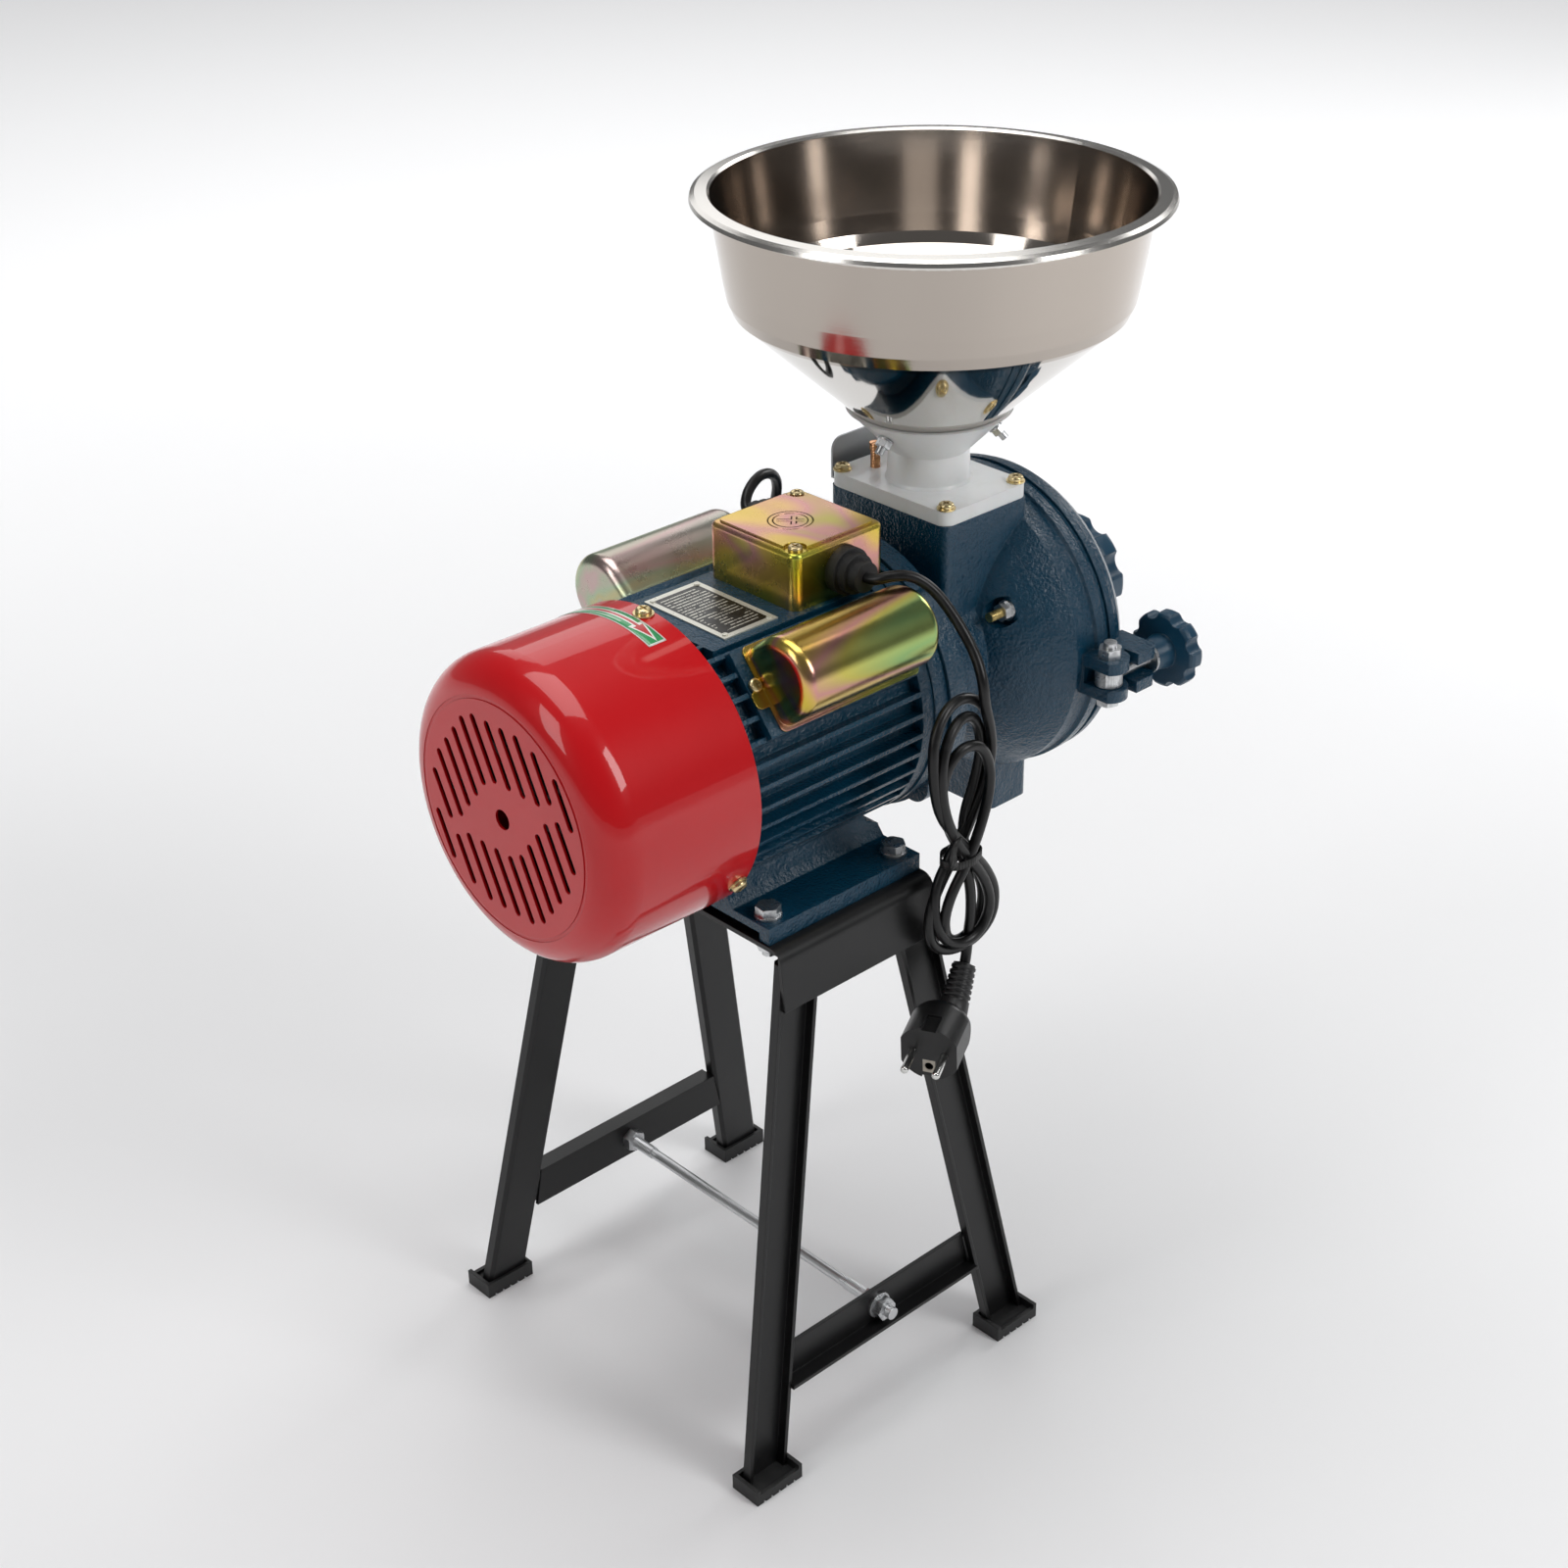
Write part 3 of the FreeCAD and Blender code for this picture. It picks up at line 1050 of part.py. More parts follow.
def slide_gate():
    """Thin plate under the adapter flange with a turned-up pull tab."""
    z0 = FEED_TOP - GATE_T - 0.25
    x0, x1 = FEED_X - GATE_HALF_X, FEED_X + GATE_HALF_X
    plate = box(x0, x1, -FEED_BORE_Y - 1, GATE_TAB_Y + GATE_T, z0, z0 + GATE_T)
    tab = box(x0, x1, GATE_TAB_Y, GATE_TAB_Y + GATE_T, z0, GATE_TAB_TOP)
    corners = [e for e in tab.Edges if e.BoundBox.YLength > GATE_T * 0.9 and e.BoundBox.ZMin > GATE_TAB_TOP - 0.1
               and e.BoundBox.XLength < 0.01]
    tab = tab.makeFillet(8.0, corners)
    return join([plate, tab])


def cone_r(z):
    """Outer radius of the hopper's cone at a height."""
    k = (HOPPER_SHOULDER_R - 3 - HOPPER_LOW_R) / (HOPPER_SHOULDER_Z - 4 - HOPPER_LOW_Z)
    return HOPPER_LOW_R + (z - HOPPER_LOW_Z) * k




def adapter():
    """White plastic throat: flange, round neck and a cone that cups the hopper."""
    z0 = FEED_TOP
    z1 = z0 + ADAPTER_T
    fx0, fx1 = FEED_X - FEED_HALF_X, FEED_X + FEED_HALF_X
    plate = rounded_box(fx0, fx1, -FEED_HALF_Y, FEED_HALF_Y, z0, z1, 7.0)
    g = 0.1
    prof = [(ADAPTER_BORE_R, z0), (ADAPTER_NECK_R, z0), (ADAPTER_NECK_R + 1, z1), (ADAPTER_NECK_R, z1 + 2),
            (ADAPTER_NECK_R - 0.8, NECK_TOP), (cone_r(ADAPTER_TOP - 3) + 3.2, ADAPTER_TOP - 3),
            (cone_r(ADAPTER_TOP) + 3.6, ADAPTER_TOP), (cone_r(ADAPTER_TOP) + g, ADAPTER_TOP),
            (HOPPER_LOW_R + g, HOPPER_LOW_Z), (ADAPTER_BORE_R, HOPPER_LOW_Z - 2)]
    neck = turned_z(prof, FEED_X, 0)
    body = join([plate.cut(cyl_z(z0 - 1, z1 + 1, ADAPTER_BORE_R, FEED_X, 0)), neck])
    tools = []
    for sx in (-1, 1):
        for sy in (-1, 1):
            tools.append(cyl_z(z0 - 1, z1 + 1, 2.7, FEED_X + sx * ADAPTER_SCREW_X, sy * ADAPTER_SCREW_Y))
    tools.append(cyl_z(z0 - 1, z1 + 1, 3.05, GATE_SCREW[0], GATE_SCREW[1]))
    for base, n in hopper_bolt_axes():
        tools.append(Part.makeCylinder(2.6, 20, base - n * 8, n))
        tools.append(Part.makeCylinder(5.3, 20, base + n * BOLT_SEAT, n))
    return cut_all(body, tools)


def adapter_screws():
    z1 = FEED_TOP + ADAPTER_T
    out = []
    for sx in (-1, 1):
        for sy in (-1, 1):
            x, y = FEED_X + sx * ADAPTER_SCREW_X, sy * ADAPTER_SCREW_Y
            washer = cyl_z(z1, z1 + 1.0, 5.6, x, y)
            screw = pan_screw((x, y, z1 + 0.9), (0, 0, 1), 4.6, 3.0, 2.5, ADAPTER_T + 11)
            out.append(join([washer, screw]))
    return out


def gate_screw():
    """Slotted pillar screw that locks the gate from above."""
    x, y = GATE_SCREW
    top = FEED_TOP + ADAPTER_T + 15.5
    body = join([cyl_z(FEED_TOP + 0.15, top, 3.0, x, y), cyl_z(top - 4.0, top, 3.6, x, y)])
    return body.cut(box(x - 5, x + 5, y - 0.5, y + 0.5, top - 1.5, top + 1))


def hopper():
    """Spun steel bowl: rolled rim, slightly tapered wall, rounded shoulder, cone."""
    t = HOPPER_T
    z = HOPPER_RIM_Z
    out = [(HOPPER_RIM_R, z - 4.2), (HOPPER_RIM_R - 0.8, z - 2.0), (HOPPER_RIM_R - 3.5, z - 0.7),
           (HOPPER_WALL_R + 1.0, z), (HOPPER_WALL_R - 0.5, z - 1.5)]
    inner = [(HOPPER_SHOULDER_R + 2.0 - t, HOPPER_SHOULDER_Z + 14),
             (HOPPER_SHOULDER_R - t, HOPPER_SHOULDER_Z + 3),
             (HOPPER_SHOULDER_R - 3 - t * 1.4, HOPPER_SHOULDER_Z - 4 + t * 0.4),
             (HOPPER_LOW_R - t * 1.4, HOPPER_LOW_Z)]
    outer = [(HOPPER_LOW_R, HOPPER_LOW_Z), (HOPPER_SHOULDER_R - 3, HOPPER_SHOULDER_Z - 4),
             (HOPPER_SHOULDER_R, HOPPER_SHOULDER_Z + 3), (HOPPER_SHOULDER_R + 2.0, HOPPER_SHOULDER_Z + 14),
             (HOPPER_WALL_R - 0.5 + t, z - 4), (HOPPER_WALL_R + 2.0, z - 1.6),
             (HOPPER_RIM_R - 4.5, z - 1.9), (HOPPER_RIM_R - 2.0, z - 2.9), (HOPPER_RIM_R - 1.4, z - 4.2)]
    body = turned_z(out + inner + outer, FEED_X, 0)
    tools = [Part.makeCylinder(2.6, 20, base - n * 8, n) for base, n in hopper_bolt_axes()]
    return cut_all(body, tools)


def hopper_bolt_axes():
    """Point on the hopper's cone and outward direction of each of the three bolts."""
    z = ADAPTER_TOP - 8.0
    k = (cone_r(z + 1) - cone_r(z))
    length = math.hypot(1.0, k)
    out = []
    for angle in (64.0, 184.0, 304.0):
        a = math.radians(angle)
        n = V(math.cos(a) / length, math.sin(a) / length, -k / length)
        r = cone_r(z)
        out.append((V(FEED_X + r * math.cos(a), r * math.sin(a), z), n))
    return out


def hopper_bolts():
    """Low round heads inside the cone, threaded ends outside."""
    out = []
    for base, n in hopper_bolt_axes():
        inside = base - n * (HOPPER_T + 0.3)
        head = Part.makeCylinder(4.6, 2.4, inside - n * 2.4, n)
        shank = Part.makeCylinder(2.5, 14.5, inside - n * 0.5, n)
        out.append(join([head, shank]))
    return out


def hopper_nuts():
    out = []
    for base, n in hopper_bolt_axes():
        seat = base + n * BOLT_SEAT
        washer = Part.makeCylinder(4.8, 1.0, seat, n)
        p = seat + n * 0.9
        nut = hex_prism(8.0, 4.0, (p.x, p.y, p.z), (n.x, n.y, n.z), 12)
        out.append(join([washer, nut]).cut(Part.makeCylinder(2.5, 20, base, n)))
    return out


def spindle():
    """Adjusting screw whose tip bears on the drive disc."""
    x0 = DISC_X1 + 6 + CLEAR
    return join([cyl_x(x0 + 3, KNOB_X1 - 3, SPINDLE_R),
                 turned_x([(x0, 0), (x0, 3.0), (x0 + 3, 6.0), (x0 + 3.5, 6.0), (x0 + 3.5, 0)])])


def star(x0, x1, r, lobes, dip):
    """Grip with rounded lobes around the rim."""
    body = cyl_x(x0, x1, r)
    ring = r + dip * 0.35
    scoop = dip * 1.35
    cuts = []
    for i in range(lobes):
        a = math.radians(360.0 / lobes * (i + 0.5))
        cuts.append(cyl_x(x0 - 1, x1 + 1, scoop, ring * math.cos(a), AXIS_Z + ring * math.sin(a)))
    body = cut_all(body, cuts)
    soft = turned_x([(x0, 0), (x0, r - 2.5), (x0 + 1.0, r - 0.9), (x0 + 3.0, r), (x1 - 3.0, r),
                     (x1 - 1.0, r - 0.9), (x1, r - 2.5), (x1, 0)])
    return body.common(soft)


def knob():
    body = star(KNOB_X0, KNOB_X1, KNOB_R, 8, 6.5)
    body = join([body, turned_x([(KNOB_X0 - 3, 0), (KNOB_X0 - 3, 14), (KNOB_X0 + 2, 16), (KNOB_X0 + 2, 0)])])
    return body.cut(cyl_x(KNOB_X0 - 5, KNOB_X1 - 3, SPINDLE_R))


def lock_nut():
    nut = hex_prism(24.0, 8.0, (BOSS_X, 0, AXIS_Z), (1, 0, 0))
    return nut.cut(cyl_x(BOSS_X - 1, BOSS_X + 9, SPINDLE_R + 0.05))


def pin_with_nuts(y):
    """Upright bolt through both ears, hex head below and nut above."""
    z0, z1 = LUG_Z - LUG_GAP / 2 - LUG_T, LUG_Z + LUG_GAP / 2 + LUG_T
    shank = cyl_z(z0 - 1, z1 + 9.5, PIN_R, LUG_X, y)
    head = hex_prism(13.0, 5.3, (LUG_X, y, z0), (0, 0, -1), 20)
    nut = hex_prism(13.0, 6.0, (LUG_X, y, z1), (0, 0, 1), 35)
    return join([shank, head, nut])


def eye_bolt():
    half = LUG_GAP / 2 - 0.4
    eye = cyl_z(LUG_Z - half, LUG_Z + half, 8.5, LUG_X, -LUG_Y)
    rod = cyl_x(LUG_X, WHEEL_X0 + 32, 4.0, -LUG_Y, LUG_Z)
    body = join([eye, rod])
    return body.cut(cyl_z(LUG_Z - 20, LUG_Z + 20, PIN_R + 0.05, LUG_X, -LUG_Y))




def clamp_washer():
    x0 = PRONG_X1 + WASHER_GAP
    body = cyl_x(x0, x0 + WASHER_T, 10.0, -LUG_Y, LUG_Z)
    return body.cut(cyl_x(x0 - 1, x0 + WASHER_T + 1, 4.05, -LUG_Y, LUG_Z))


def handwheel():
    """Small star wheel with a long tapered hub, threaded on the eye bolt."""
    x0 = WHEEL_X0
    hub = turned_x([(x0, 0), (x0, 9.0), (x0 + 14, 11.5), (x0 + 14, 0)])
    body = join([hub, star(x0 + 13, x0 + 24, WHEEL_R, 8, 4.2)])
    body.translate(V(0, -LUG_Y, LUG_Z - AXIS_Z))
    return body.cut(cyl_x(x0 - 1, x0 + 40, 4.05, -LUG_Y, LUG_Z))


# --- cord ----------------------------------------------------------------------------
def cord_path(points):
    """Straight runs joined by tangent arcs; returns the wire and its arc radii."""
    pts = [V(*p) for p in points]
    edges = []
    radii = []
    start = pts[0]
    for i in range(1, len(pts) - 1):
        a, b, c = pts[i - 1], pts[i], pts[i + 1]
        u, w = (a - b), (c - b)
        run = min(u.Length, w.Length)
        u.normalize()
        w.normalize()
        turn = math.pi - u.getAngle(w)
        radius = 0.45 * run / math.tan(turn / 2)
        cut = radius * math.tan(turn / 2)
        p0, p1 = b + u * cut, b + w * cut
        bis = (u + w)
        bis.normalize()
        mid = b + bis * (math.hypot(radius, cut) - radius)
        edges.append(Part.LineSegment(start, p0).toShape())
        edges.append(Part.Arc(p0, mid, p1).toShape())
        start = p1
        radii.append(radius)
    edges.append(Part.LineSegment(start, pts[-1]).toShape())
    return Part.Wire(edges), radii


def cord_tube(name, points, diameter):
    wire, radii = cord_path(points)
    first = V(*points[1]) - V(*points[0])
    circle = Part.Wire(Part.makeCircle(diameter / 2, V(*points[0]), first))
    tube = wire.makePipeShell([circle], True, False)
    ideal = math.pi * diameter ** 2 / 4 * wire.Length
    print("%s length %.1f radii %s volume %.4f of ideal" % (
        name, wire.Length, [round(r, 1) for r in radii], tube.Volume / ideal))
    return tube




def cord_hank():
    """The cord's tied figure-eight loops, taken as one solid of their outer shape."""
    outline = [(70, 0), (58, 3), (48, 14), (40, 38), (42, 56), (54, 69), (50, 85), (40, 114),
               (39, 140), (50, 158), (63, 166), (74, 166), (76, 158), (89, 158), (99, 141), (101, 119),
               (94, 93), (82, 71), (83, 59), (91, 38), (97, 12), (92, 0)]
    return prism([(x, HANK_Y - HANK_T / 2, HANK_LOW + h) for x, h in outline], (0, HANK_T, 0))


def cord_tie():
    """Strap round the waist of the hank with its short tail."""
    z0, z1 = HANK_LOW + 61.5, HANK_LOW + 69.0
    band = box(50, 84.5, HANK_Y - HANK_T / 2 - 1.6, HANK_Y + HANK_T / 2 + 1.6, z0, z1)
    tail = box(50, 52, HANK_Y - HANK_T / 2 - 1.6, HANK_Y + HANK_T / 2, z0, z1 + 14)
    return join([band, tail]).cut(cord_hank())


def plug():
    """Angled two-pin plug with side earth strips and a stout strain relief at its back."""
    axis = V(-0.884, -0.4526, -0.103)
    axis.normalize()
    up = Z_AXIS - axis * Z_AXIS.dot(axis)
    up.normalize()
    side = axis.cross(up)
    body = Part.makeCylinder(PLUG_R, PLUG_DEPTH, V(0, 0, -PLUG_DEPTH), Z_AXIS)
    rim = [e for e in body.Edges if e.BoundBox.ZMax < 1 - PLUG_DEPTH]
    body = body.makeFillet(8.0, rim)
    for s in (-1, 1):
        flat = Part.makeBox(4, 50, 70, V(17.0 if s > 0 else -21.0, -25, -55))
        notch = Part.makeBox(9, 3, 14, V(-4.5, 16.8 if s > 0 else -19.8, -13))
        body = body.cut(flat).cut(notch)
    pins = []
    for s in (-1, 1):
        pin = Part.makeCylinder(2.4, 19.5, V(s * 9.5, 0, -0.5), Z_AXIS)
        tip = [e for e in pin.Edges if e.BoundBox.ZMin > 18]
        pins.append(pin.makeFillet(1.6, tip))
    earth = Part.makeCylinder(2.6, 12, V(0, -9.5, -12), Z_AXIS)
    body = join([body] + pins).cut(earth)
    body.Placement = FreeCAD.Placement(V(*PLUG_FACE), FreeCAD.Rotation(side, up, axis, "ZYX"))
    top = V(*TAIL_ROUTE[-1])
    back = V(*TAIL_ROUTE[-2]) - top
    back.normalize()
    relief = Part.makeCone(6.6, 8.6, RELIEF_LEN, top, back * -1)
    return join([body, relief])


def main():
    os.makedirs("parts", exist_ok=True)
    save("stand_saddle", saddle())
    save("legs_near", [leg(-1, -1), leg(1, -1)])
    save("legs_far", [leg(-1, 1), leg(1, 1)])
    save("rubber_shoes", [shoe(sx, sy) for sx in (-1, 1) for sy in (-1, 1)])
    save("brace_near", brace(-1))
    save("brace_far", brace(1))
    save("tie_rod", tie_rod())
    save("tie_rod_nuts", tie_nuts())
    save("motor_body", motor_body())
    save("foot_bolts", foot_bolts() + foot_nuts())
    save("rear_shield", rear_shield())
    save("front_shield", front_shield())
    save("bearings", bearings())
    save("stator_core", stator_core())
    save("stator_windings", windings())
    save("motor_shaft", motor_shaft())
    save("rotor_core", rotor_core())
    save("cooling_fan", cooling_fan())
    save("fan_cowl", fan_cowl())
    save("cowl_screws", cowl_screws())
    save("nameplate", nameplate())
    save("terminal_cover", terminal_cover())
    save("terminal_screws", terminal_screws())
    save("terminal_block", terminal_block())
    save("cord_glands", [gland(-1), gland(1)])
    save("capacitor_cover_near", capacitor_cover(-1))
    save("capacitor_cover_far", capacitor_cover(1))
    save("capacitor_screws", capacitor_screws())
    save("capacitors", capacitors())
    save("switch_bracket", switch_bracket())
    save("switch_box", switch_box())
    save("switch_rocker", rocker())
    save("switch_lead", cord_tube("switch lead", LEAD_ROUTE, LEAD_D))
    save("mill_housing", mill_housing())
    save("mill_cover", mill_cover())
    save("static_burr", static_burr())
    save("burr_studs", burr_studs())
    save("burr_nuts", burr_nuts())
    save("runner_burr", runner_burr())
    save("drive_disc", drive_disc())
    save("feed_auger", feed_auger())
    save("join_bolts", join_bolts())
    save("slide_gate", slide_gate())
    save("hopper_adapter", adapter())
    save("adapter_screws", adapter_screws())
    save("gate_lock_screw", gate_screw())
    save("hopper", hopper())
    save("hopper_bolts", hopper_bolts())
    save("hopper_nuts", hopper_nuts())
    save("adjusting_spindle", spindle())
    save("adjusting_knob", knob())
    save("spindle_lock_nut", lock_nut())
    save("lug_pins", [pin_with_nuts(LUG_Y), pin_with_nuts(-LUG_Y)])
    save("clamp_eye_bolt", eye_bolt())
    save("clamp_washer", clamp_washer())
    save("clamp_handwheel", handwheel())
    tail = cord_tube("cord tail", TAIL_ROUTE, CORD_D)
    save("power_cord", [cord_tube("power cord", CORD_ROUTE, CORD_D), tail])
    save("cord_hank", cord_hank())
    save("cord_tie", cord_tie())
    save("plug", plug())


main()
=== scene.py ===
import bpy
import bmesh
import math
from mathutils import Matrix, Vector


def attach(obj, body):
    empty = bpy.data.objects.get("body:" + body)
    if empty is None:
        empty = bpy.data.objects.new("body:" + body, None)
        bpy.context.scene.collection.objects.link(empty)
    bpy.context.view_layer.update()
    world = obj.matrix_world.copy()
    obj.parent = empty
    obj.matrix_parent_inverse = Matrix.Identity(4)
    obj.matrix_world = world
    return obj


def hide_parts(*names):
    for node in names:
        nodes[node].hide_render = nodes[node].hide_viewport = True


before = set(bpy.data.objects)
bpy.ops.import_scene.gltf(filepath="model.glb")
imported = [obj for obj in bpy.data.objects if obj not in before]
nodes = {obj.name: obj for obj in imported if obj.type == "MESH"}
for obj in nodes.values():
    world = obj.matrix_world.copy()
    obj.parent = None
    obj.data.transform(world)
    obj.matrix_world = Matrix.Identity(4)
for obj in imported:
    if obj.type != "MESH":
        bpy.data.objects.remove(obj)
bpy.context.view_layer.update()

# --- camera ---------------------------------------------------------------------------
# A long-focus lens on a stand, looking down on the mill from the fan end and the
# cord side, level but for a slight lean to one side.
camera_data = bpy.data.cameras.new("camera")
camera_data.sensor_width = 36.0
camera_data.lens = 59.08
camera_data.clip_end = 60.0
camera = bpy.data.objects.new("camera", camera_data)
camera.location = (-0.8752, -0.9892, 1.1179)
camera.rotation_euler = [math.radians(a) for a in (61.053, 0.763, -43.135)]
bpy.context.collection.objects.link(camera)
bpy.context.scene.camera = camera

# --- mains cord -----------------------------------------------------------------------
# Round black flex moulded to its plug. It leaves the grommet of the terminal box,
# drops past the near capacitor and is folded into a loose figure-eight hank tied
# at its waist. The plug hangs from the hank's last strand.
CORD_THICK = 0.0064


def smooth_line(name, points, thick):
    """A round flexible line through points given in millimetres.

    Each point's radius carries the thickness, so the line's box is its real one.
    """
    curve = bpy.data.curves.new(name, "CURVE")
    curve.dimensions = "3D"
    spline = curve.splines.new("NURBS")
    spline.points.add(len(points) - 1)
    for point, place in zip(spline.points, points):
        point.co = (place[0] / 1000, place[1] / 1000, place[2] / 1000, 1)
        point.radius = thick / 2
    spline.order_u = 3
    spline.use_endpoint_u = True
    spline.resolution_u = 12
    curve.bevel_depth = 1.0
    curve.bevel_resolution = 6
    curve.use_fill_caps = True
    line = bpy.data.objects.new(name, curve)
    bpy.context.collection.objects.link(line)
    return line


cord = smooth_line("mains_cord", [
    (52.0, -55.3, 521.5), (52.0, -61.0, 521.5), (58.5, -68.5, 525.0), (68.0, -75.5, 524.5),
    (77.0, -83.5, 516.0), (83.0, -92.5, 502.0), (86.5, -101.5, 488.0), (85.0, -111.0, 478.0),
    (82.5, -118.0, 467.0), (83.5, -118.8, 453.0),
    (88.0, -118.5, 440.0), (92.0, -117.5, 422.0), (89.5, -116.0, 402.0), (80.0, -115.0, 383.0),
    (69.0, -114.8, 365.0), (54.0, -115.0, 348.0), (43.5, -115.2, 330.0), (45.0, -115.6, 309.0),
    (59.0, -116.5, 298.5), (78.0, -118.5, 298.5), (93.0, -120.0, 309.0), (94.5, -121.0, 328.0),
    (86.0, -121.5, 346.0), (73.0, -121.6, 362.0), (56.5, -121.4, 381.0), (44.5, -120.6, 400.0),
    (41.8, -119.0, 424.0), (44.5, -116.5, 446.0), (58.5, -113.4, 459.5), (76.5, -111.8, 459.5),
    (92.0, -111.7, 447.0), (97.0, -112.0, 427.0), (94.0, -112.4, 405.0), (83.0, -113.0, 385.0),
    (62.0, -114.4, 362.0), (48.5, -115.6, 346.0), (46.5, -117.5, 326.0), (53.0, -119.5, 309.5),
    (67.0, -121.8, 302.5), (81.5, -123.0, 307.5), (88.5, -123.6, 323.0), (81.5, -123.6, 344.0),
    (66.5, -123.2, 364.0), (53.0, -123.5, 384.0), (46.5, -122.6, 404.0), (46.5, -120.5, 426.0),
    (55.0, -118.0, 444.0), (69.5, -115.0, 450.5), (83.5, -112.6, 443.0), (89.5, -111.8, 424.0),
    (84.5, -111.6, 402.0), (75.0, -111.8, 382.0), (75.0, -112.4, 362.0), (86.0, -113.0, 344.0),
    (92.5, -113.8, 325.0), (87.5, -115.0, 307.5), (72.5, -115.6, 300.5), (57.5, -117.5, 307.5),
    (51.5, -120.0, 324.0), (54.5, -122.4, 342.0), (66.0, -124.4, 360.0), (76.0, -124.8, 380.0),
    (83.5, -124.2, 400.0), (84.0, -123.4, 418.0), (76.0, -122.6, 433.0), (62.0, -121.2, 435.0),
    (52.0, -119.0, 423.0), (51.0, -116.4, 404.0), (58.5, -115.2, 382.0), (69.0, -117.6, 361.0),
    (74.0, -119.6, 341.0), (75.5, -119.6, 320.0), (74.5, -118.5, 305.0), (73.8, -118.5, 296.5),
    (72.6, -119.0, 291.5), (70.4, -120.0, 286.5),
], CORD_THICK)
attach(cord, "base")
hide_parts("power_cord", "cord_hank")

# --- lead to the switch ---------------------------------------------------------------
# The same flex again, from the far grommet in one high arc down to the hood of the switch box.
lead = smooth_line("switch_flex", [
    (68.0, 55.3, 521.5), (68.0, 63.0, 521.5), (75.0, 69.0, 530.0), (90.0, 73.0, 536.5),
    (107.0, 78.0, 530.0), (115.0, 85.0, 513.0), (113.0, 92.0, 493.0), (104.0, 97.5, 475.0),
    (97.0, 101.0, 462.0), (97.0, 101.0, 452.0),
], CORD_THICK)
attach(lead, "base")
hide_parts("switch_lead")


class Tone:
    """A value on its way through a finish; sums on tones add Math nodes."""

    def __init__(self, tree, socket):
        self.tree = tree
        self.socket = socket

    def node(self, kind, settings, sockets, take=0):
        """Any node: its settings first, then the values or tones of its sockets."""
        made = self.tree.nodes.new(kind)
        for name, value in settings.items():
            if name == "stops":
                ramp = made.color_ramp
                while len(ramp.elements) < len(value):
                    ramp.elements.new(0.5)
                for element, (place, colour) in zip(ramp.elements, value):
                    element.position = place
                    element.color = (*colour, 1)
            else:
                setattr(made, name, value)
        for key, value in sockets.items():
            if isinstance(value, Tone):
                self.tree.links.new(value.socket, made.inputs[key])
            else:
                made.inputs[key].default_value = value
        return Tone(self.tree, made.outputs[take])

    def maths(self, operation, *others):
        """A Math node on this tone and any others."""
        sockets = dict(enumerate((self, *others)))
        return self.node("ShaderNodeMath", {"operation": operation}, sockets)

    def __add__(self, other):
        return self.maths("ADD", other)

    def __radd__(self, other):
        return self.maths("ADD", other)

    def __sub__(self, other):
        return self.maths("SUBTRACT", other)

    def __rsub__(self, other):
        return self.node("ShaderNodeMath", {"operation": "SUBTRACT"}, {0: other, 1: self})

    def __mul__(self, other):
        return self.maths("MULTIPLY", other)

    def __rmul__(self, other):
        return self.maths("MULTIPLY", other)

    def __truediv__(self, other):
        return self.maths("DIVIDE", other)

    def __gt__(self, other):
        return self.maths("GREATER_THAN", other)

    def __lt__(self, other):
        return self.maths("LESS_THAN", other)

    def __abs__(self):
        return self.maths("ABSOLUTE")

    def part(self, axis):
        """One of the three numbers of a place."""
        return self.node("ShaderNodeSeparateXYZ", {}, {0: self}, "XYZ".index(axis))

    def noise(self, scale, detail=3.0, rough=0.5, **more):
        """Cloudy noise, from 0 to 1, at so many clouds to the metre."""
        sockets = {"Vector": self, "Scale": scale, "Detail": detail, "Roughness": rough, **more}
        return self.node("ShaderNodeTexNoise", {}, sockets)

    def between(self, low, high):
        """This tone as a mask that picks from colour low to colour high."""
        a, b = [c if isinstance(c, Tone) else (*c, 1) for c in (low, high)]
        return self.node("ShaderNodeMix", {"data_type": "RGBA"}, {0: self, 6: a, 7: b}, 2)

    def step(self, low, high):
        """A soft step from 0 at low to 1 at high."""
        return self.node("ShaderNodeMapRange", {"interpolation_type": "SMOOTHSTEP"},
                         {"Value": self, "From Min": low, "From Max": high})

    def stretched(self, x, y, z):
        """A place with each of its three numbers scaled."""
        return self.node("ShaderNodeVectorMath", {"operation": "MULTIPLY"}, {0: self, 1: (x, y, z)})

    def bump(self, height, depth, strength=1.0, round_edges=0.0):
        """A normal raised by height times depth, over edges rounded by a radius."""
        sockets = {"Height": height, "Distance": depth, "Strength": strength}
        if round_edges:
            rounded = self.node("ShaderNodeBevel", {"samples": 4}, {"Radius": round_edges})
            sockets["Normal"] = rounded
        return self.node("ShaderNodeBump", {}, sockets)


def socket_name(word):
    """A socket's name from a keyword: base_color gives Base Color."""
    return word.replace("_", " ").title().replace("Ior", "IOR")


def finish(name, **even):
    """A new material with its even values set.

    Returns it, the place on the piece, and a function that feeds tones to it.
    """
    material = bpy.data.materials.new(name)
    material.use_nodes = True
    tree = material.node_tree
    shader = tree.nodes["Principled BSDF"]
    for word, value in even.items():
        shader.inputs[socket_name(word)].default_value = value
    place = Tone(tree, tree.nodes.new("ShaderNodeTexCoord").outputs["Object"])

    def feed(**tones):
        for word, tone in tones.items():
            tree.links.new(tone.socket, shader.inputs[socket_name(word)])

    return material, place, feed


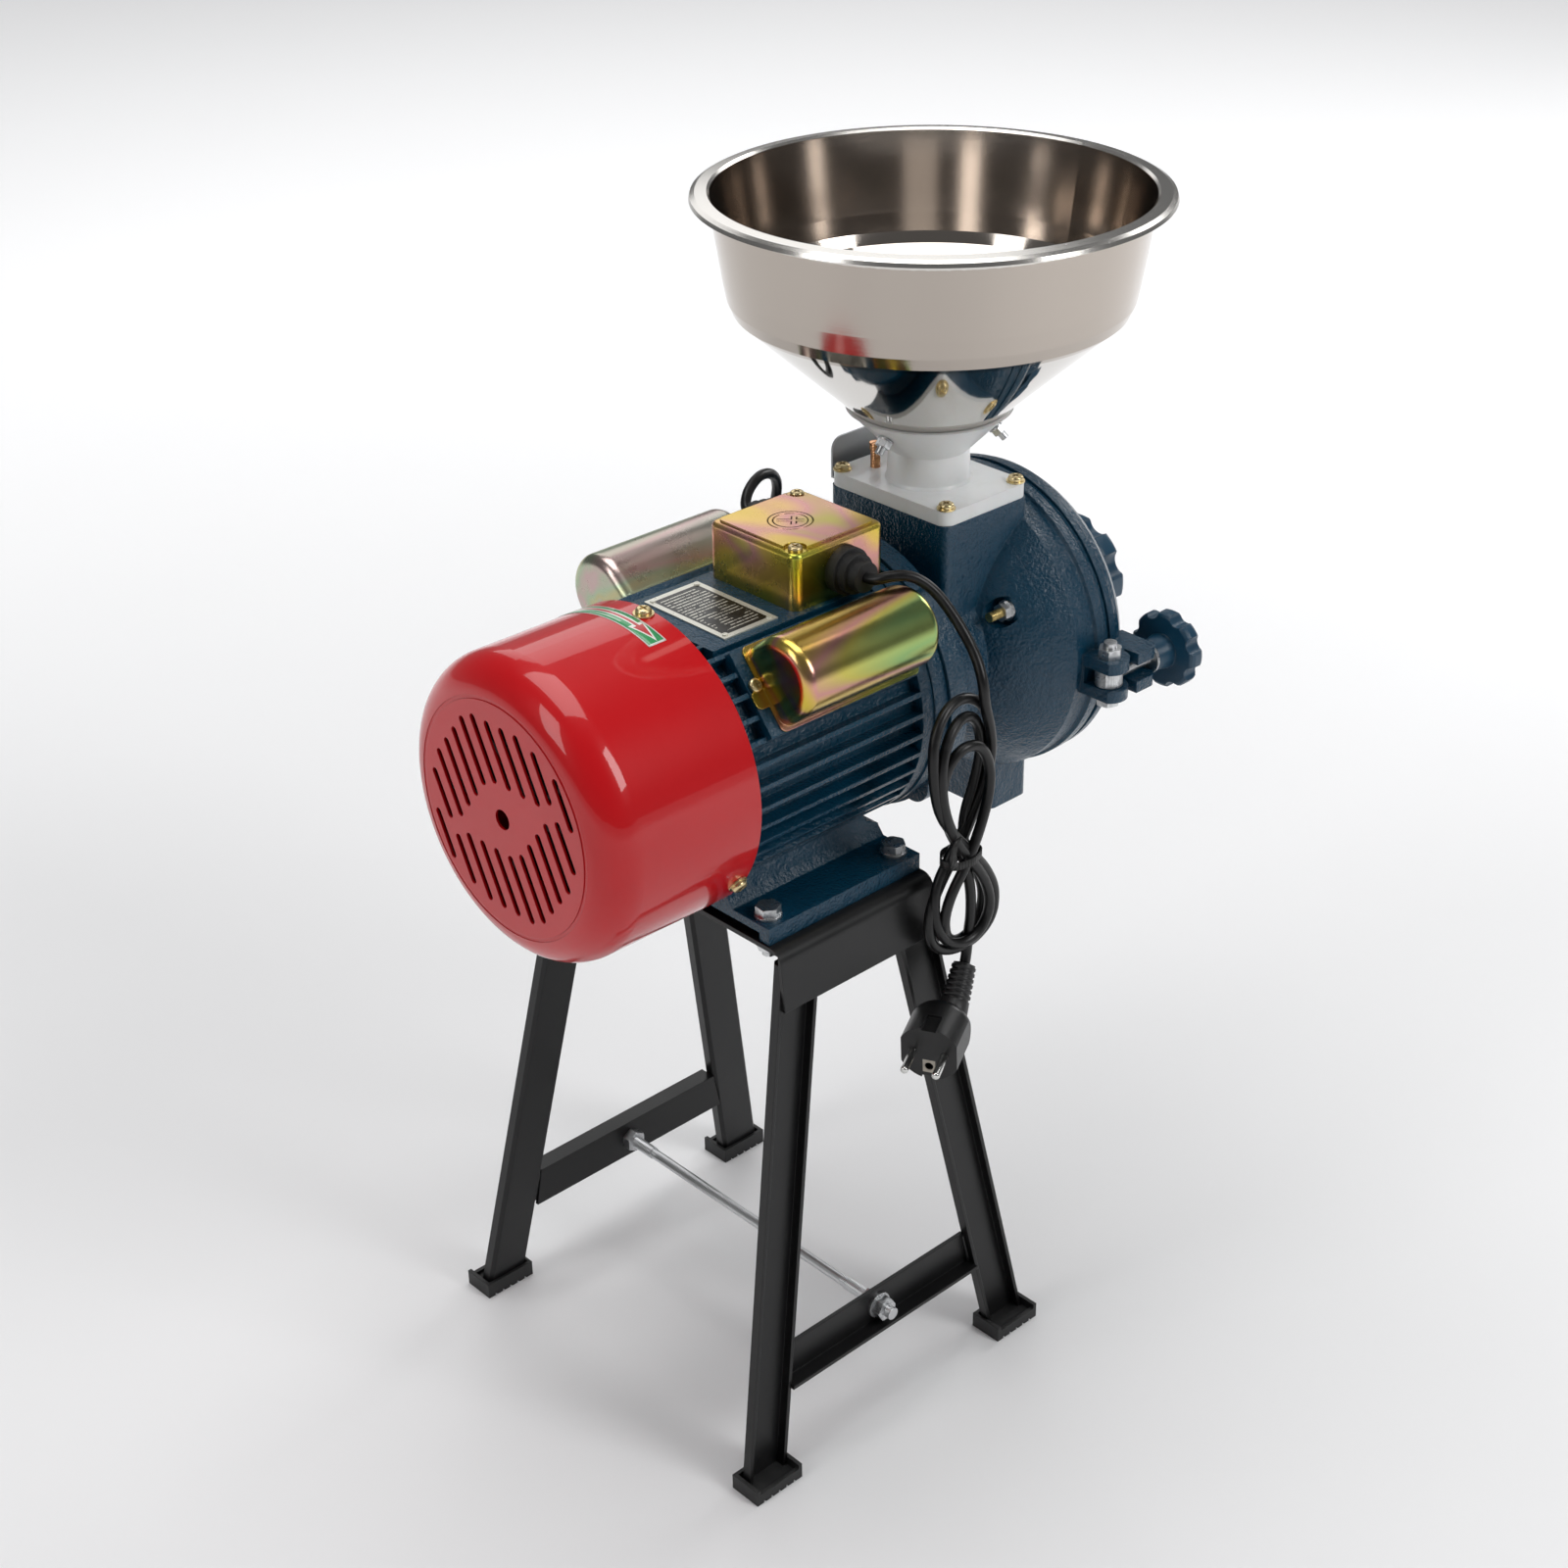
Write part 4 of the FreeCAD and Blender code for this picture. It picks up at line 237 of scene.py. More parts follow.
# The flex is satin black PVC with a fine grain and a little dust.
pvc, at, feed = finish("flex pvc", specular_ior_level=0.4)
dust = at.noise(140, 4).step(0.45, 0.8)
feed(base_color=dust.between((0.0035, 0.0035, 0.0038), (0.009, 0.009, 0.0096)),
     roughness=dust * 0.16 + 0.33,
     normal=at.bump(at.noise(1600, 2), 0.00006, 0.5))
cord.data.materials.append(pvc)
lead.data.materials.append(pvc)

# --- cord tie -------------------------------------------------------------------------
# Soft black strap with a ladder of small ribs, pulled round the waist of the hank,
# its short end standing up past the head.


def ride(piece, body, material):
    """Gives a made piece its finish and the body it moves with."""
    piece.data.materials.append(material)
    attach(piece, body)


def mesh_piece(name, shape, smooth=True):
    """Turns a bmesh into an object of the scene."""
    mesh = bpy.data.meshes.new(name)
    shape.to_mesh(mesh)
    shape.free()
    if smooth:
        mesh.polygons.foreach_set("use_smooth", [True] * len(mesh.polygons))
    piece = bpy.data.objects.new(name, mesh)
    bpy.context.collection.objects.link(piece)
    return piece


def round_steps(count):
    """Angles that go once round in equal steps."""
    return [2 * math.pi * i / count for i in range(count)]


def skin(shape, rings, capped=True):
    """Faces from each closed ring to the next, and one over each end if capped."""
    count = len(rings[0])
    for low, high in zip(rings, rings[1:]):
        for i in range(count):
            j = (i + 1) % count
            shape.faces.new((low[i], low[j], high[j], high[i]))
    if capped:
        shape.faces.new(list(reversed(rings[0])))
        shape.faces.new(rings[-1])


TIE_MIDDLE = Vector((0.0665, -0.1183, 0.3620))
TIE_HALF_X, TIE_HALF_Y, TIE_HIGH = 0.0128, 0.0092, 0.0048
TIE_THICK, TIE_PUCKER, TIE_TILT = 0.0012, 0.0003, 0.0009
strap, at, feed = finish("tie strap", roughness=0.5)
ribs = (at.part("X") * 3400).maths("SINE")
feed(base_color=at.noise(300).between((0.006, 0.006, 0.006), (0.014, 0.014, 0.014)),
     normal=at.bump(ribs, 0.0003, 0.6))
shape = bmesh.new()
loops = []
for edge, stand_off in ((-1, 0.0), (-1, TIE_THICK), (1, TIE_THICK), (1, 0.0)):
    loop = []
    for a in round_steps(48):
        grow = stand_off + TIE_PUCKER * math.sin(7 * a)
        offset = Vector(((TIE_HALF_X + grow) * math.cos(a), (TIE_HALF_Y + grow) * math.sin(a),
                         edge * TIE_HIGH / 2 + TIE_TILT * math.cos(a)))
        loop.append(shape.verts.new(TIE_MIDDLE + offset))
    loops.append(loop)
skin(shape, loops + loops[:1], capped=False)
# The end's four-sided section at five places from the middle of the tie.
END_HALF = TIE_HIGH / 2
rows = []
for place in ((-0.0125, -0.0075, 0.0), (-0.0150, -0.0085, 0.0042), (-0.0160, -0.0088, 0.0095),
              (-0.0150, -0.0090, 0.0150), (-0.0125, -0.0092, 0.0195)):
    row = []
    for across, through in ((-1, -1), (1, -1), (1, 1), (-1, 1)):
        offset = Vector((across * END_HALF * 0.72, -through * 0.0006 - across * 0.0008,
                         across * END_HALF * 0.5))
        row.append(shape.verts.new(TIE_MIDDLE + Vector(place) + offset))
    rows.append(row)
skin(shape, rows)
bmesh.ops.recalc_face_normals(shape, faces=shape.faces)
tie = mesh_piece("tie_strap", shape)
ride(tie, "base", strap)
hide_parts("cord_tie")

# --- plug -----------------------------------------------------------------------------
# Moulded two-pin plug for earthed sockets: satin black body with a notch in each
# flat, nickel-plated pins and a pale insert round the earth hole.
PLUG_FACE = Vector((0.022, -0.138, 0.2545))
PLUG_OUT = Vector((-0.884, -0.4526, -0.103)).normalized()
PLUG_UP = (Vector((0, 0, 1)) - PLUG_OUT * PLUG_OUT.z).normalized()
PLUG_SIDE = PLUG_OUT.cross(PLUG_UP)
RELIEF_TOP = Vector((0.0704, -0.12, 0.2865))


def dress(material, *names):
    """Gives carried-over pieces their finish."""
    for name in names:
        mesh = nodes[name].data
        if not mesh.materials:
            mesh.materials.append(material)
        for index in range(len(mesh.materials)):
            mesh.materials[index] = material


def along(place, direction):
    """How far a place lies along a direction."""
    sockets = {0: place, 1: tuple(direction)}
    return place.node("ShaderNodeVectorMath", {"operation": "DOT_PRODUCT"}, sockets, 1)


plug_skin, at, feed = finish("plug mouldings")
centred = at.node("ShaderNodeVectorMath", {"operation": "SUBTRACT"}, {0: at, 1: tuple(PLUG_FACE)})
out, up, side = along(centred, PLUG_OUT), along(centred, PLUG_UP), along(centred, PLUG_SIDE)
FACE_SLACK = 0.0004
pin = (out > FACE_SLACK) * (abs(side) < 0.0125)
insert = (abs(side) < 0.0038) * (abs(up + 0.0095) < 0.0046) * (out > -FACE_SLACK) * (1 - pin)
grain = at.noise(2600, 2)
wear = at.noise(160, 4).step(0.5, 0.8)
body = wear.between((0.004, 0.004, 0.0043), (0.010, 0.010, 0.011))
body = insert.between(body, (0.42, 0.38, 0.32))
feed(base_color=pin.between(body, (0.72, 0.72, 0.7)), metallic=pin,
     roughness=0.36 - pin * 0.18 + wear * 0.08,
     normal=at.bump(grain * (1 - pin), 0.00008, 0.5, 0.0006))
dress(plug_skin, "plug")


def turned_about(name, base, axis, profile, sides=40):
    """A piece turned about an axis; the profile is (distance along, radius) from base."""
    axis = axis.normalized()
    across = axis.orthogonal().normalized()
    third = axis.cross(across)
    shape = bmesh.new()
    rings = []
    for along_axis, radius in profile:
        ring = []
        for a in round_steps(sides):
            outward = across * math.cos(a) + third * math.sin(a)
            ring.append(shape.verts.new(base + axis * along_axis + outward * radius))
        rings.append(ring)
    skin(shape, rings)
    bmesh.ops.recalc_face_normals(shape, faces=shape.faces)
    return mesh_piece(name, shape)


# The strain relief is a stack of six cuffs, each a little wider, on a plain collar.
CUFF_FIRST, CUFF_PITCH = 0.0015, 0.0034
CUFF_R, CUFF_GROWTH = 0.0068, 0.00024
relief_dir = (RELIEF_TOP - Vector((0.074, -0.1185, 0.291))).normalized()
profile = [(0.0, 0.0046), (0.0004, 0.0058)]
for i in range(6):
    start = CUFF_FIRST + i * CUFF_PITCH
    radius = CUFF_R + i * CUFF_GROWTH
    profile += [(start, radius), (start + 0.0004, radius + 0.0006),
                (start + 0.0021, radius + 0.0006), (start + 0.0025, radius - 0.0004),
                (start + 0.0032, radius - 0.0004)]
profile += [(0.0225, 0.0086), (0.03, 0.0091), (0.033, 0.0088)]
relief = turned_about("plug_strain_relief", RELIEF_TOP + relief_dir * -0.0004, relief_dir, profile)
relief_skin, at, feed = finish("relief rubber")
feed(base_color=at.noise(200, 4).between((0.006, 0.006, 0.0065), (0.015, 0.015, 0.016)),
     roughness=at.noise(90, 3) * 0.2 + 0.34, normal=at.bump(at.noise(2200, 2), 0.00006, 0.5))
ride(relief, "base", relief_skin)

# --- stand ----------------------------------------------------------------------------
# Folded and welded steel: a saddle plate, four channel legs and two braces, powder
# coated black in one go. The coat has a fine orange peel and scuffs grey.
black, at, feed = finish("stand powder coat", specular_ior_level=0.4)
cloud = at.noise(28, 5, 0.6)
scuff = at.stretched(1, 1, 0.35).noise(320, 6, 0.65).step(0.66, 0.74)
peel = at.noise(1300, 2)
coat = cloud.between((0.0036, 0.0036, 0.0039), (0.0075, 0.0075, 0.008))
feed(base_color=(scuff * 0.5).between(coat, (0.04, 0.04, 0.04)),
     roughness=cloud * 0.22 + scuff * 0.12 + 0.24,
     normal=at.bump(peel + at.noise(300, 2) * 0.6, 0.00016, 0.35, 0.0008))
dress(black, "stand_saddle", "legs_near", "legs_far", "brace_near", "brace_far")

# Rippled weld beads, in millimetres, where the braces meet the backs of the legs.
LEG_TOP_X, LEG_TOP_Y, LEG_TOP_Z = 41.5, 91.0, 344.0
LEG_LEAN_X, LEG_LEAN_Y = 63.5 / 339.0, 32.0 / 339.0
LEG_FLANGE, BEAD_OUT = 15.0, 2.6
BEAD_FROM, BEAD_LONG, BEAD_STEPS = 57.5, 23.0, 22
BEAD_R, BEAD_RIPPLE, BEAD_END_R = 1.25, 0.28, 0.5
bead_skin, at, feed = finish("weld beads", coat_weight=0.2)
feed(base_color=at.noise(240, 4).between((0.006, 0.006, 0.0065), (0.02, 0.02, 0.021)),
     roughness=at.noise(400, 3) * 0.3 + 0.3, normal=at.bump(at.noise(900, 3), 0.0003, 0.6))
for side_y, side_name in ((-1, "near"), (1, "far")):
    for side_x, end_name in ((-1, "fan"), (1, "mill")):
        shape = bmesh.new()
        rings = []
        for i in range(BEAD_STEPS):
            z = BEAD_FROM + BEAD_LONG * i / (BEAD_STEPS - 1)
            x = side_x * (LEG_TOP_X + (LEG_TOP_Z - z) * LEG_LEAN_X - LEG_FLANGE)
            y = side_y * (LEG_TOP_Y + (LEG_TOP_Z - z) * LEG_LEAN_Y + BEAD_OUT)
            at_end = i in (0, BEAD_STEPS - 1)
            swell = BEAD_END_R if at_end else BEAD_R + BEAD_RIPPLE * math.sin(i * 2.1)
            ring = []
            for a in round_steps(10):
                place = Vector((x + swell * math.cos(a), y + swell * math.sin(a), z))
                ring.append(shape.verts.new(place / 1000))
            rings.append(ring)
        skin(shape, rings)
        bmesh.ops.recalc_face_normals(shape, faces=shape.faces)
        bead = mesh_piece("weld_%s_%s" % (side_name, end_name), shape)
        ride(bead, "base", bead_skin)

# --- rubber parts ---------------------------------------------------------------------
# Moulded black rubber: the four ribbed shoes pushed over the leg ends, and the two
# grommets in the walls of the terminal box.
rubber, at, feed = finish("moulded rubber")
bloom = at.noise(60, 5, 0.6).step(0.35, 0.8)
feed(base_color=bloom.between((0.008, 0.008, 0.0085), (0.022, 0.022, 0.022)),
     roughness=bloom * 0.2 + 0.48,
     normal=at.bump(at.noise(1500, 3), 0.0001, 0.5, 0.0007))
dress(rubber, "rubber_shoes", "cord_glands")

# --- plated fasteners -----------------------------------------------------------------
# Zinc-plated steel with some dull patches: bright on the tie rod, bolts, pins and nuts,
# yellow on the small screws and the studs. Threads are rolled.


def ridges(distance, pitch):
    """The wave of a thread whose pitch is in millimetres."""
    return (distance * (2000 * math.pi / pitch)).maths("SINE")


def zinc(name, tint, thread_pitch=None):
    """Plated steel, threaded all along X where it has a pitch."""
    material, at, feed = finish(name, metallic=1.0)
    dull = at.noise(190, 5, 0.6).step(0.38, 0.75)
    height = at.noise(1500, 2) * 0.08
    if thread_pitch:
        height = ridges(at.part("X"), thread_pitch) * 0.5
    feed(base_color=dull.between(tint, tuple(c * 0.62 for c in tint)),
         roughness=dull * 0.2 + 0.27,
         normal=at.bump(height, 0.00022, 0.7, 0.0003))
    return material


bright = zinc("bright zinc", (0.66, 0.67, 0.68))
dress(bright, "tie_rod_nuts", "foot_bolts", "hopper_bolts", "hopper_nuts", "lug_pins",
      "clamp_washer", "spindle_lock_nut", "burr_nuts")

# The tie rod is drawn bright and threaded only at its two ends.
THREAD_START = 0.0885
rod, at, feed = finish("drawn rod", metallic=1.0)
thread = ridges(at.part("Y"), 1.25) * (abs(at.part("Y")) > THREAD_START)
drawn = at.stretched(1, 0.04, 1).noise(600, 3)
feed(base_color=at.noise(50, 3).between((0.56, 0.57, 0.58), (0.7, 0.71, 0.72)),
     roughness=drawn * 0.15 + 0.26,
     normal=at.bump(thread * 0.6 + drawn * 0.06, 0.0002, 0.6, 0.0003))
dress(rod, "tie_rod")
dress(zinc("bright zinc, thread along the bolt", (0.62, 0.63, 0.64), 1.25), "clamp_eye_bolt")
yellow = zinc("yellow zinc", (0.74, 0.60, 0.33))
dress(yellow, "cowl_screws", "adapter_screws", "capacitor_screws", "terminal_screws")
dress(zinc("yellow zinc stud", (0.72, 0.55, 0.22), 1.0), "burr_studs")

# --- motor and mill castings ----------------------------------------------------------
# Grey iron sprayed with thick petrol-blue gloss that has flowed into an orange peel
# over the sand-cast skin.
blue, at, feed = finish("petrol blue on cast iron", specular_ior_level=0.5)
patch = at.noise(22, 4, 0.55)
sand = at.noise(520, 3, 0.6)
pits = at.noise(1500, 2)
lumps = at.noise(130, 2)
feed(base_color=patch.between((0.0010, 0.030, 0.064), (0.0026, 0.048, 0.092)),
     roughness=sand * 0.14 + 0.09,
     normal=at.bump(sand * 0.8 + pits * 0.25 + lumps * 1.2, 0.0011, 0.75, 0.0011))
dress(blue, "motor_body", "mill_housing", "mill_cover", "front_shield", "join_bolts",
      "switch_bracket")

# The two star grips are smoother castings in the same blue.
grip, at, feed = finish("petrol blue on the grips", specular_ior_level=0.6)
feed(base_color=at.noise(45, 4).between((0.0012, 0.032, 0.07), (0.003, 0.052, 0.1)),
     roughness=at.noise(300, 3) * 0.2 + 0.24,
     normal=at.bump(at.noise(420, 2), 0.00025, 0.4, 0.0012))
dress(grip, "adjusting_knob", "clamp_handwheel")

# --- fan cowl -------------------------------------------------------------------------
# Deep-drawn sheet sprayed signal red, very glossy, with a slight orange peel.
red, at, feed = finish("signal red", coat_weight=0.85, coat_roughness=0.05, coat_ior=1.45,
                       specular_ior_level=0.15)
tone = at.noise(16, 3)
feed(base_color=tone.between((0.47, 0.0018, 0.0045), (0.56, 0.0032, 0.0075)),
     roughness=at.noise(70, 3) * 0.1 + 0.3,
     normal=at.bump(at.noise(260, 2) + at.noise(40, 2) * 1.6, 0.00022, 0.18, 0.0006))
dress(red, "fan_cowl")

# --- direction sticker ----------------------------------------------------------------
# A glossy paper strip bent over the top of the cowl: white edge, green field and a
# red arrow that shows which way the shaft turns.
STRIP_R = 0.09095
STRIP_X = (-0.0865, -0.0742)
STRIP_FROM, STRIP_TO = 52.0, 109.5
STRIP_STEPS = 48
SHAFT_Z = 0.4315
shape = bmesh.new()
rows = []
for i in range(STRIP_STEPS + 1):
    a = math.radians(STRIP_FROM + (STRIP_TO - STRIP_FROM) * i / STRIP_STEPS)
    row = []
    for j in range(5):
        x = STRIP_X[0] + (STRIP_X[1] - STRIP_X[0]) * j / 4
        row.append(shape.verts.new((x, STRIP_R * math.cos(a), SHAFT_Z + STRIP_R * math.sin(a))))
    rows.append(row)
for low, high in zip(rows, rows[1:]):
    for j in range(4):
        shape.faces.new((low[j], low[j + 1], high[j + 1], high[j]))
strip_piece = mesh_piece("direction_sticker", shape)
thickness = strip_piece.modifiers.new("thickness", "SOLIDIFY")
thickness.thickness = 0.00012
thickness.offset = 0
paper, at, feed = finish("sticker print", coat_weight=0.5, coat_roughness=0.1)
# x runs across the strip in millimetres from its middle, turn along it in degrees.
ARROW_X, ARROW_HALF, ARROW_BORDER = 1.0, 1.0, 0.9
HEAD_FROM, HEAD_TIP, HEAD_TAPER = 98.0, 106.0, 0.42
x = at.part("X") * 1000 + 80.35
around = (at.part("Z") - SHAFT_Z).maths("ARCTAN2", at.part("Y"))
turn = around * (180 / math.pi)
inside = (abs(x) < 5.3) * (turn < 108.6) * (turn > 52.9)
from_arrow = abs(x - ARROW_X)
shaft = (from_arrow < ARROW_HALF) * (turn < HEAD_FROM)
head = (from_arrow < (HEAD_TIP - turn) * HEAD_TAPER) * (turn > HEAD_FROM)
arrow = shaft.maths("MAXIMUM", head)
edge_shaft = (from_arrow < ARROW_HALF + ARROW_BORDER) * (turn < HEAD_FROM - 1.0)
edge_head = (from_arrow < (HEAD_TIP + 2.4 - turn) * HEAD_TAPER) * (turn > HEAD_FROM - 1.5)
edge = edge_shaft.maths("MAXIMUM", edge_head)
dashes = (turn * 2.3).maths("FRACT") < 0.62
legend = (abs(x + 3.1) < 0.75) * dashes * (turn < 92.0) * (turn > 58.0)
colour = inside.between((0.72, 0.72, 0.68), (0.012, 0.26, 0.075))
colour = (edge * inside).between(colour, (0.74, 0.74, 0.7))
colour = (arrow * inside).between(colour, (0.45, 0.012, 0.015))
colour = (legend * 0.75).between(colour, (0.6, 0.68, 0.6))
feed(base_color=colour, roughness=at.noise(90) * 0.12 + 0.24,
     normal=at.bump(at.noise(300), 0.00005, 0.4))
ride(strip_piece, "base", paper)

# --- rating plate ---------------------------------------------------------------------
# Thin aluminium plate, printed black so that bare metal is left as its border and as
# rows of plain ruled dashes, and held by four drive rivets.
plate, at, feed = finish("rating plate")
# px and py are millimetres from the plate's middle.
ROW_PITCH = 3.1
px, py = at.part("X") * 1000 + 16.0, at.part("Y") * 1000
field = (abs(px) < 16.4) * (abs(py) < 30.2)
rows_y = (py / ROW_PITCH + 40.0).maths("FRACT")
row_line = (rows_y > 0.34) * (rows_y < 0.66)
letters = at.stretched(1, 0.32, 1).noise(1300, 1) > 0.42
gap = at.noise(95, 0) > 0.4
printed = row_line * letters * gap * (abs(px) < 14.6) * (abs(py) < 28.6)
rivet_x, rivet_y = abs(px) - 16.5, abs(py) - 30.5
rivet = (rivet_x * rivet_x + rivet_y * rivet_y) < 3.4
bare = 1 - (1 - rivet) * (1 - printed) * field
feed(base_color=bare.between((0.008, 0.008, 0.007), (0.66, 0.65, 0.58)), metallic=bare * 0.5,
     roughness=at.noise(260, 3) * 0.16 + 0.22,
     normal=at.bump(bare + at.noise(800) * 0.2, 0.00006, 0.5))
dress(plate, "nameplate")

# --- passivated covers ----------------------------------------------------------------
# Drawn steel with yellow passivated zinc: the terminal box lid and the two capacitor
# covers. The thin film shows pink, gold and green bands, paler on the far cover.
FILM = [(0.0, (0.26, 0.42, 0.14)), (0.14, (0.48, 0.48, 0.07)), (0.34, (0.66, 0.50, 0.08)),
        (0.5, (0.68, 0.46, 0.13)), (0.62, (0.58, 0.28, 0.26)), (0.72, (0.50, 0.44, 0.10)),
        (0.84, (0.26, 0.42, 0.16)), (1.0, (0.60, 0.47, 0.10))]
PALE_FILM = [(0.0, (0.34, 0.44, 0.40)), (0.25, (0.46, 0.46, 0.40)), (0.45, (0.54, 0.40, 0.38)),
             (0.62, (0.40, 0.48, 0.34)), (0.8, (0.50, 0.46, 0.26)), (1.0, (0.40, 0.44, 0.44))]


def film(at, drift, stops=FILM):
    """Interference colours that follow the film's changing thickness."""
    waves = at.stretched(*drift).noise(11, 2, 0.4, Distortion=0.9)
    facing = at.node("ShaderNodeLayerWeight", {}, {"Blend": 0.35}, 1)
    thick = waves * 2.5 - 0.78 + facing * 0.3
    return at.node("ShaderNodeValToRGB", {"stops": stops}, {0: thick})


gold, at, feed = finish("passivated drawn steel", metallic=1.0)
haze = at.noise(34, 5, 0.6)
feed(base_color=film(at, (0.16, 1.5, 1.5)), roughness=haze * 0.14 + 0.15,
     normal=at.bump(at.noise(300, 3) * 0.3 + at.noise(30, 2), 0.00004, 0.35, 0.0008))
dress(gold, "capacitor_cover_near")
silver, at, feed = finish("thin pale passivation", metallic=1.0)
feed(base_color=film(at, (0.2, 1.4, 1.4), PALE_FILM), roughness=at.noise(34, 5, 0.6) * 0.16 + 0.2,
     normal=at.bump(at.noise(300, 3) * 0.3 + at.noise(30, 2), 0.00004, 0.35, 0.0008))
dress(silver, "capacitor_cover_far")


def distance(x, y):
    """How far a place is from the middle that x and y are measured from."""
    return (x * x + y * y).maths("SQRT")


# The lid of the terminal box has a plain ring and bar emblem pressed up in its top.
LID_X, LID_Y, LID_TOP_Z = 47.0, 1.0, 0.5400
RING_R = 11.5
lid, at, feed = finish("passivated terminal lid", metallic=1.0)
haze = at.noise(34, 5, 0.6)
lx, ly = at.part("X") * 1000 - LID_X, at.part("Y") * 1000 - LID_Y
reach = distance(lx, ly)
ring = 1 - abs(reach - RING_R).step(0.9, 2.0)
bar = (1 - abs(lx * 0.7 + ly * 0.7).step(0.9, 2.0)) * (reach < 8.0)
crossbar = (1 - abs(lx * 0.7 - ly * 0.7 - 2.0).step(0.9, 2.0)) * (reach < 6.0)
emblem = ring.maths("MAXIMUM", bar.maths("MAXIMUM", crossbar)) * (at.part("Z") > LID_TOP_Z)
feed(base_color=film(at, (0.9, 0.6, 1.2)), roughness=haze * 0.16 + 0.19,
     normal=at.bump(emblem * 9.0 + at.noise(50, 2) * 0.5, 0.00018, 0.8, 0.0008))
dress(lid, "terminal_cover")

# --- hopper ---------------------------------------------------------------------------
# Spun stainless steel. The wall is satin from the spinning tool and the cone below is polished like
# a mirror. Inside the bowl the steel is coloured a darker brown, a painted shade.
HOPPER_X = 0.1588
WALL_FOOT_Z, WALL_INNER_R = 0.640, 0.1262
stainless, at, feed = finish("spun stainless, painted shade inside", metallic=1.0)
hx, hy, hz = at.part("X") - HOPPER_X, at.part("Y"), at.part("Z")
radius = distance(hx, hy)
tool = at.node("ShaderNodeCombineXYZ", {}, {0: radius * 900, 1: hz * 900, 2: 0.0})
lines = tool.noise(1.0, 4, 0.7)
smear = at.noise(9, 4, 0.6)
satin = hz.step(0.638, 0.652)
spots = at.noise(210, 4, 0.6).step(0.68, 0.75)
# Inside the bowl's wall, the colour below turns darker and browner: painted shade in the bowl.
inside = (radius < WALL_INNER_R) * (hz > WALL_FOOT_Z)
steel = smear.between((0.66, 0.635, 0.60), (0.75, 0.725, 0.69))
feed(base_color=inside.between(steel, (0.47, 0.42, 0.375)),
     roughness=(satin * (smear * 0.12 + lines * 0.08 + 0.07) * (1 - inside * 0.5) + 0.045
                + spots * 0.1),
     normal=at.bump(lines * (satin * 0.9 + 0.1) + smear * 0.25, 0.00004, 0.45))
dress(stainless, "hopper")

# --- adapter --------------------------------------------------------------------------
# White moulded plastic throat between the feed box and the hopper, a little
# translucent and with some flour grime.
white, at, feed = finish("white plastic", coat_weight=0.1, subsurface_weight=0.08,
                         subsurface_scale=0.004)
grime = at.noise(36, 5, 0.65).step(0.5, 0.9)
feed(base_color=grime.between((0.76, 0.77, 0.77), (0.66, 0.66, 0.64)),
     roughness=grime * 0.15 + 0.3,
     normal=at.bump(at.noise(160, 2), 0.0001, 0.3, 0.0009))
dress(white, "hopper_adapter")

# --- gate and its screw ---------------------------------------------------------------
# Galvanised sheet gate, dulled in soft clouds, and the copper-coloured pillar screw.
# Its thread has a pitch of 1 mm, given as turns in radians to the metre.
THREAD_TURNS = 6283
sheet, at, feed = finish("galvanised sheet", metallic=1.0)
feed(base_color=at.noise(60, 3).between((0.36, 0.37, 0.385), (0.5, 0.51, 0.52)),
     roughness=at.noise(120, 3) * 0.2 + 0.3, normal=at.bump(at.noise(700, 3), 0.00005, 0.5, 0.0005))
dress(sheet, "slide_gate")
copper, at, feed = finish("copper-coloured screw", metallic=1.0)
tarnish = at.noise(260, 4).step(0.35, 0.7)
groove = (at.part("Z") * THREAD_TURNS).maths("SINE")
feed(base_color=tarnish.between((0.78, 0.42, 0.22), (0.45, 0.22, 0.1)),
     roughness=tarnish * 0.2 + 0.24,
     normal=at.bump(groove, 0.00018, 0.7))
dress(copper, "gate_lock_screw")

# --- switch ---------------------------------------------------------------------------
# Small black switch box with a red rocker marked with a line and a ring, and the
# terminal block under the lid.
ROCKER_X, LINE_Z, RING_Z, ROCKER_FACE_Y = 91.0, 428.5, 415.0, 0.1135
case, at, feed = finish("black moulded plastic")
feed(base_color=at.noise(120, 4).between((0.008, 0.008, 0.009), (0.018, 0.018, 0.019)),
     roughness=at.noise(200, 3) * 0.16 + 0.34,
     normal=at.bump(at.noise(2400, 2), 0.00008, 0.6, 0.0008))
dress(case, "switch_box", "terminal_block")
rocker, at, feed = finish("rocker")
mark_x, mark_z = at.part("X") * 1000 - ROCKER_X, at.part("Z") * 1000
line_mark = (abs(mark_x) < 0.5) * (abs(mark_z - LINE_Z) < 2.2)
ring_mark = abs(distance(mark_x, mark_z - RING_Z) - 2.1) < 0.45
marks = (line_mark + ring_mark) * (at.part("Y") > ROCKER_FACE_Y)
feed(base_color=marks.between((0.3, 0.006, 0.006), (0.7, 0.7, 0.68)),
     roughness=at.noise(150) * 0.15 + 0.25,
     normal=at.bump(at.noise(900), 0.00004, 0.4, 0.0006))
dress(rocker, "switch_rocker")

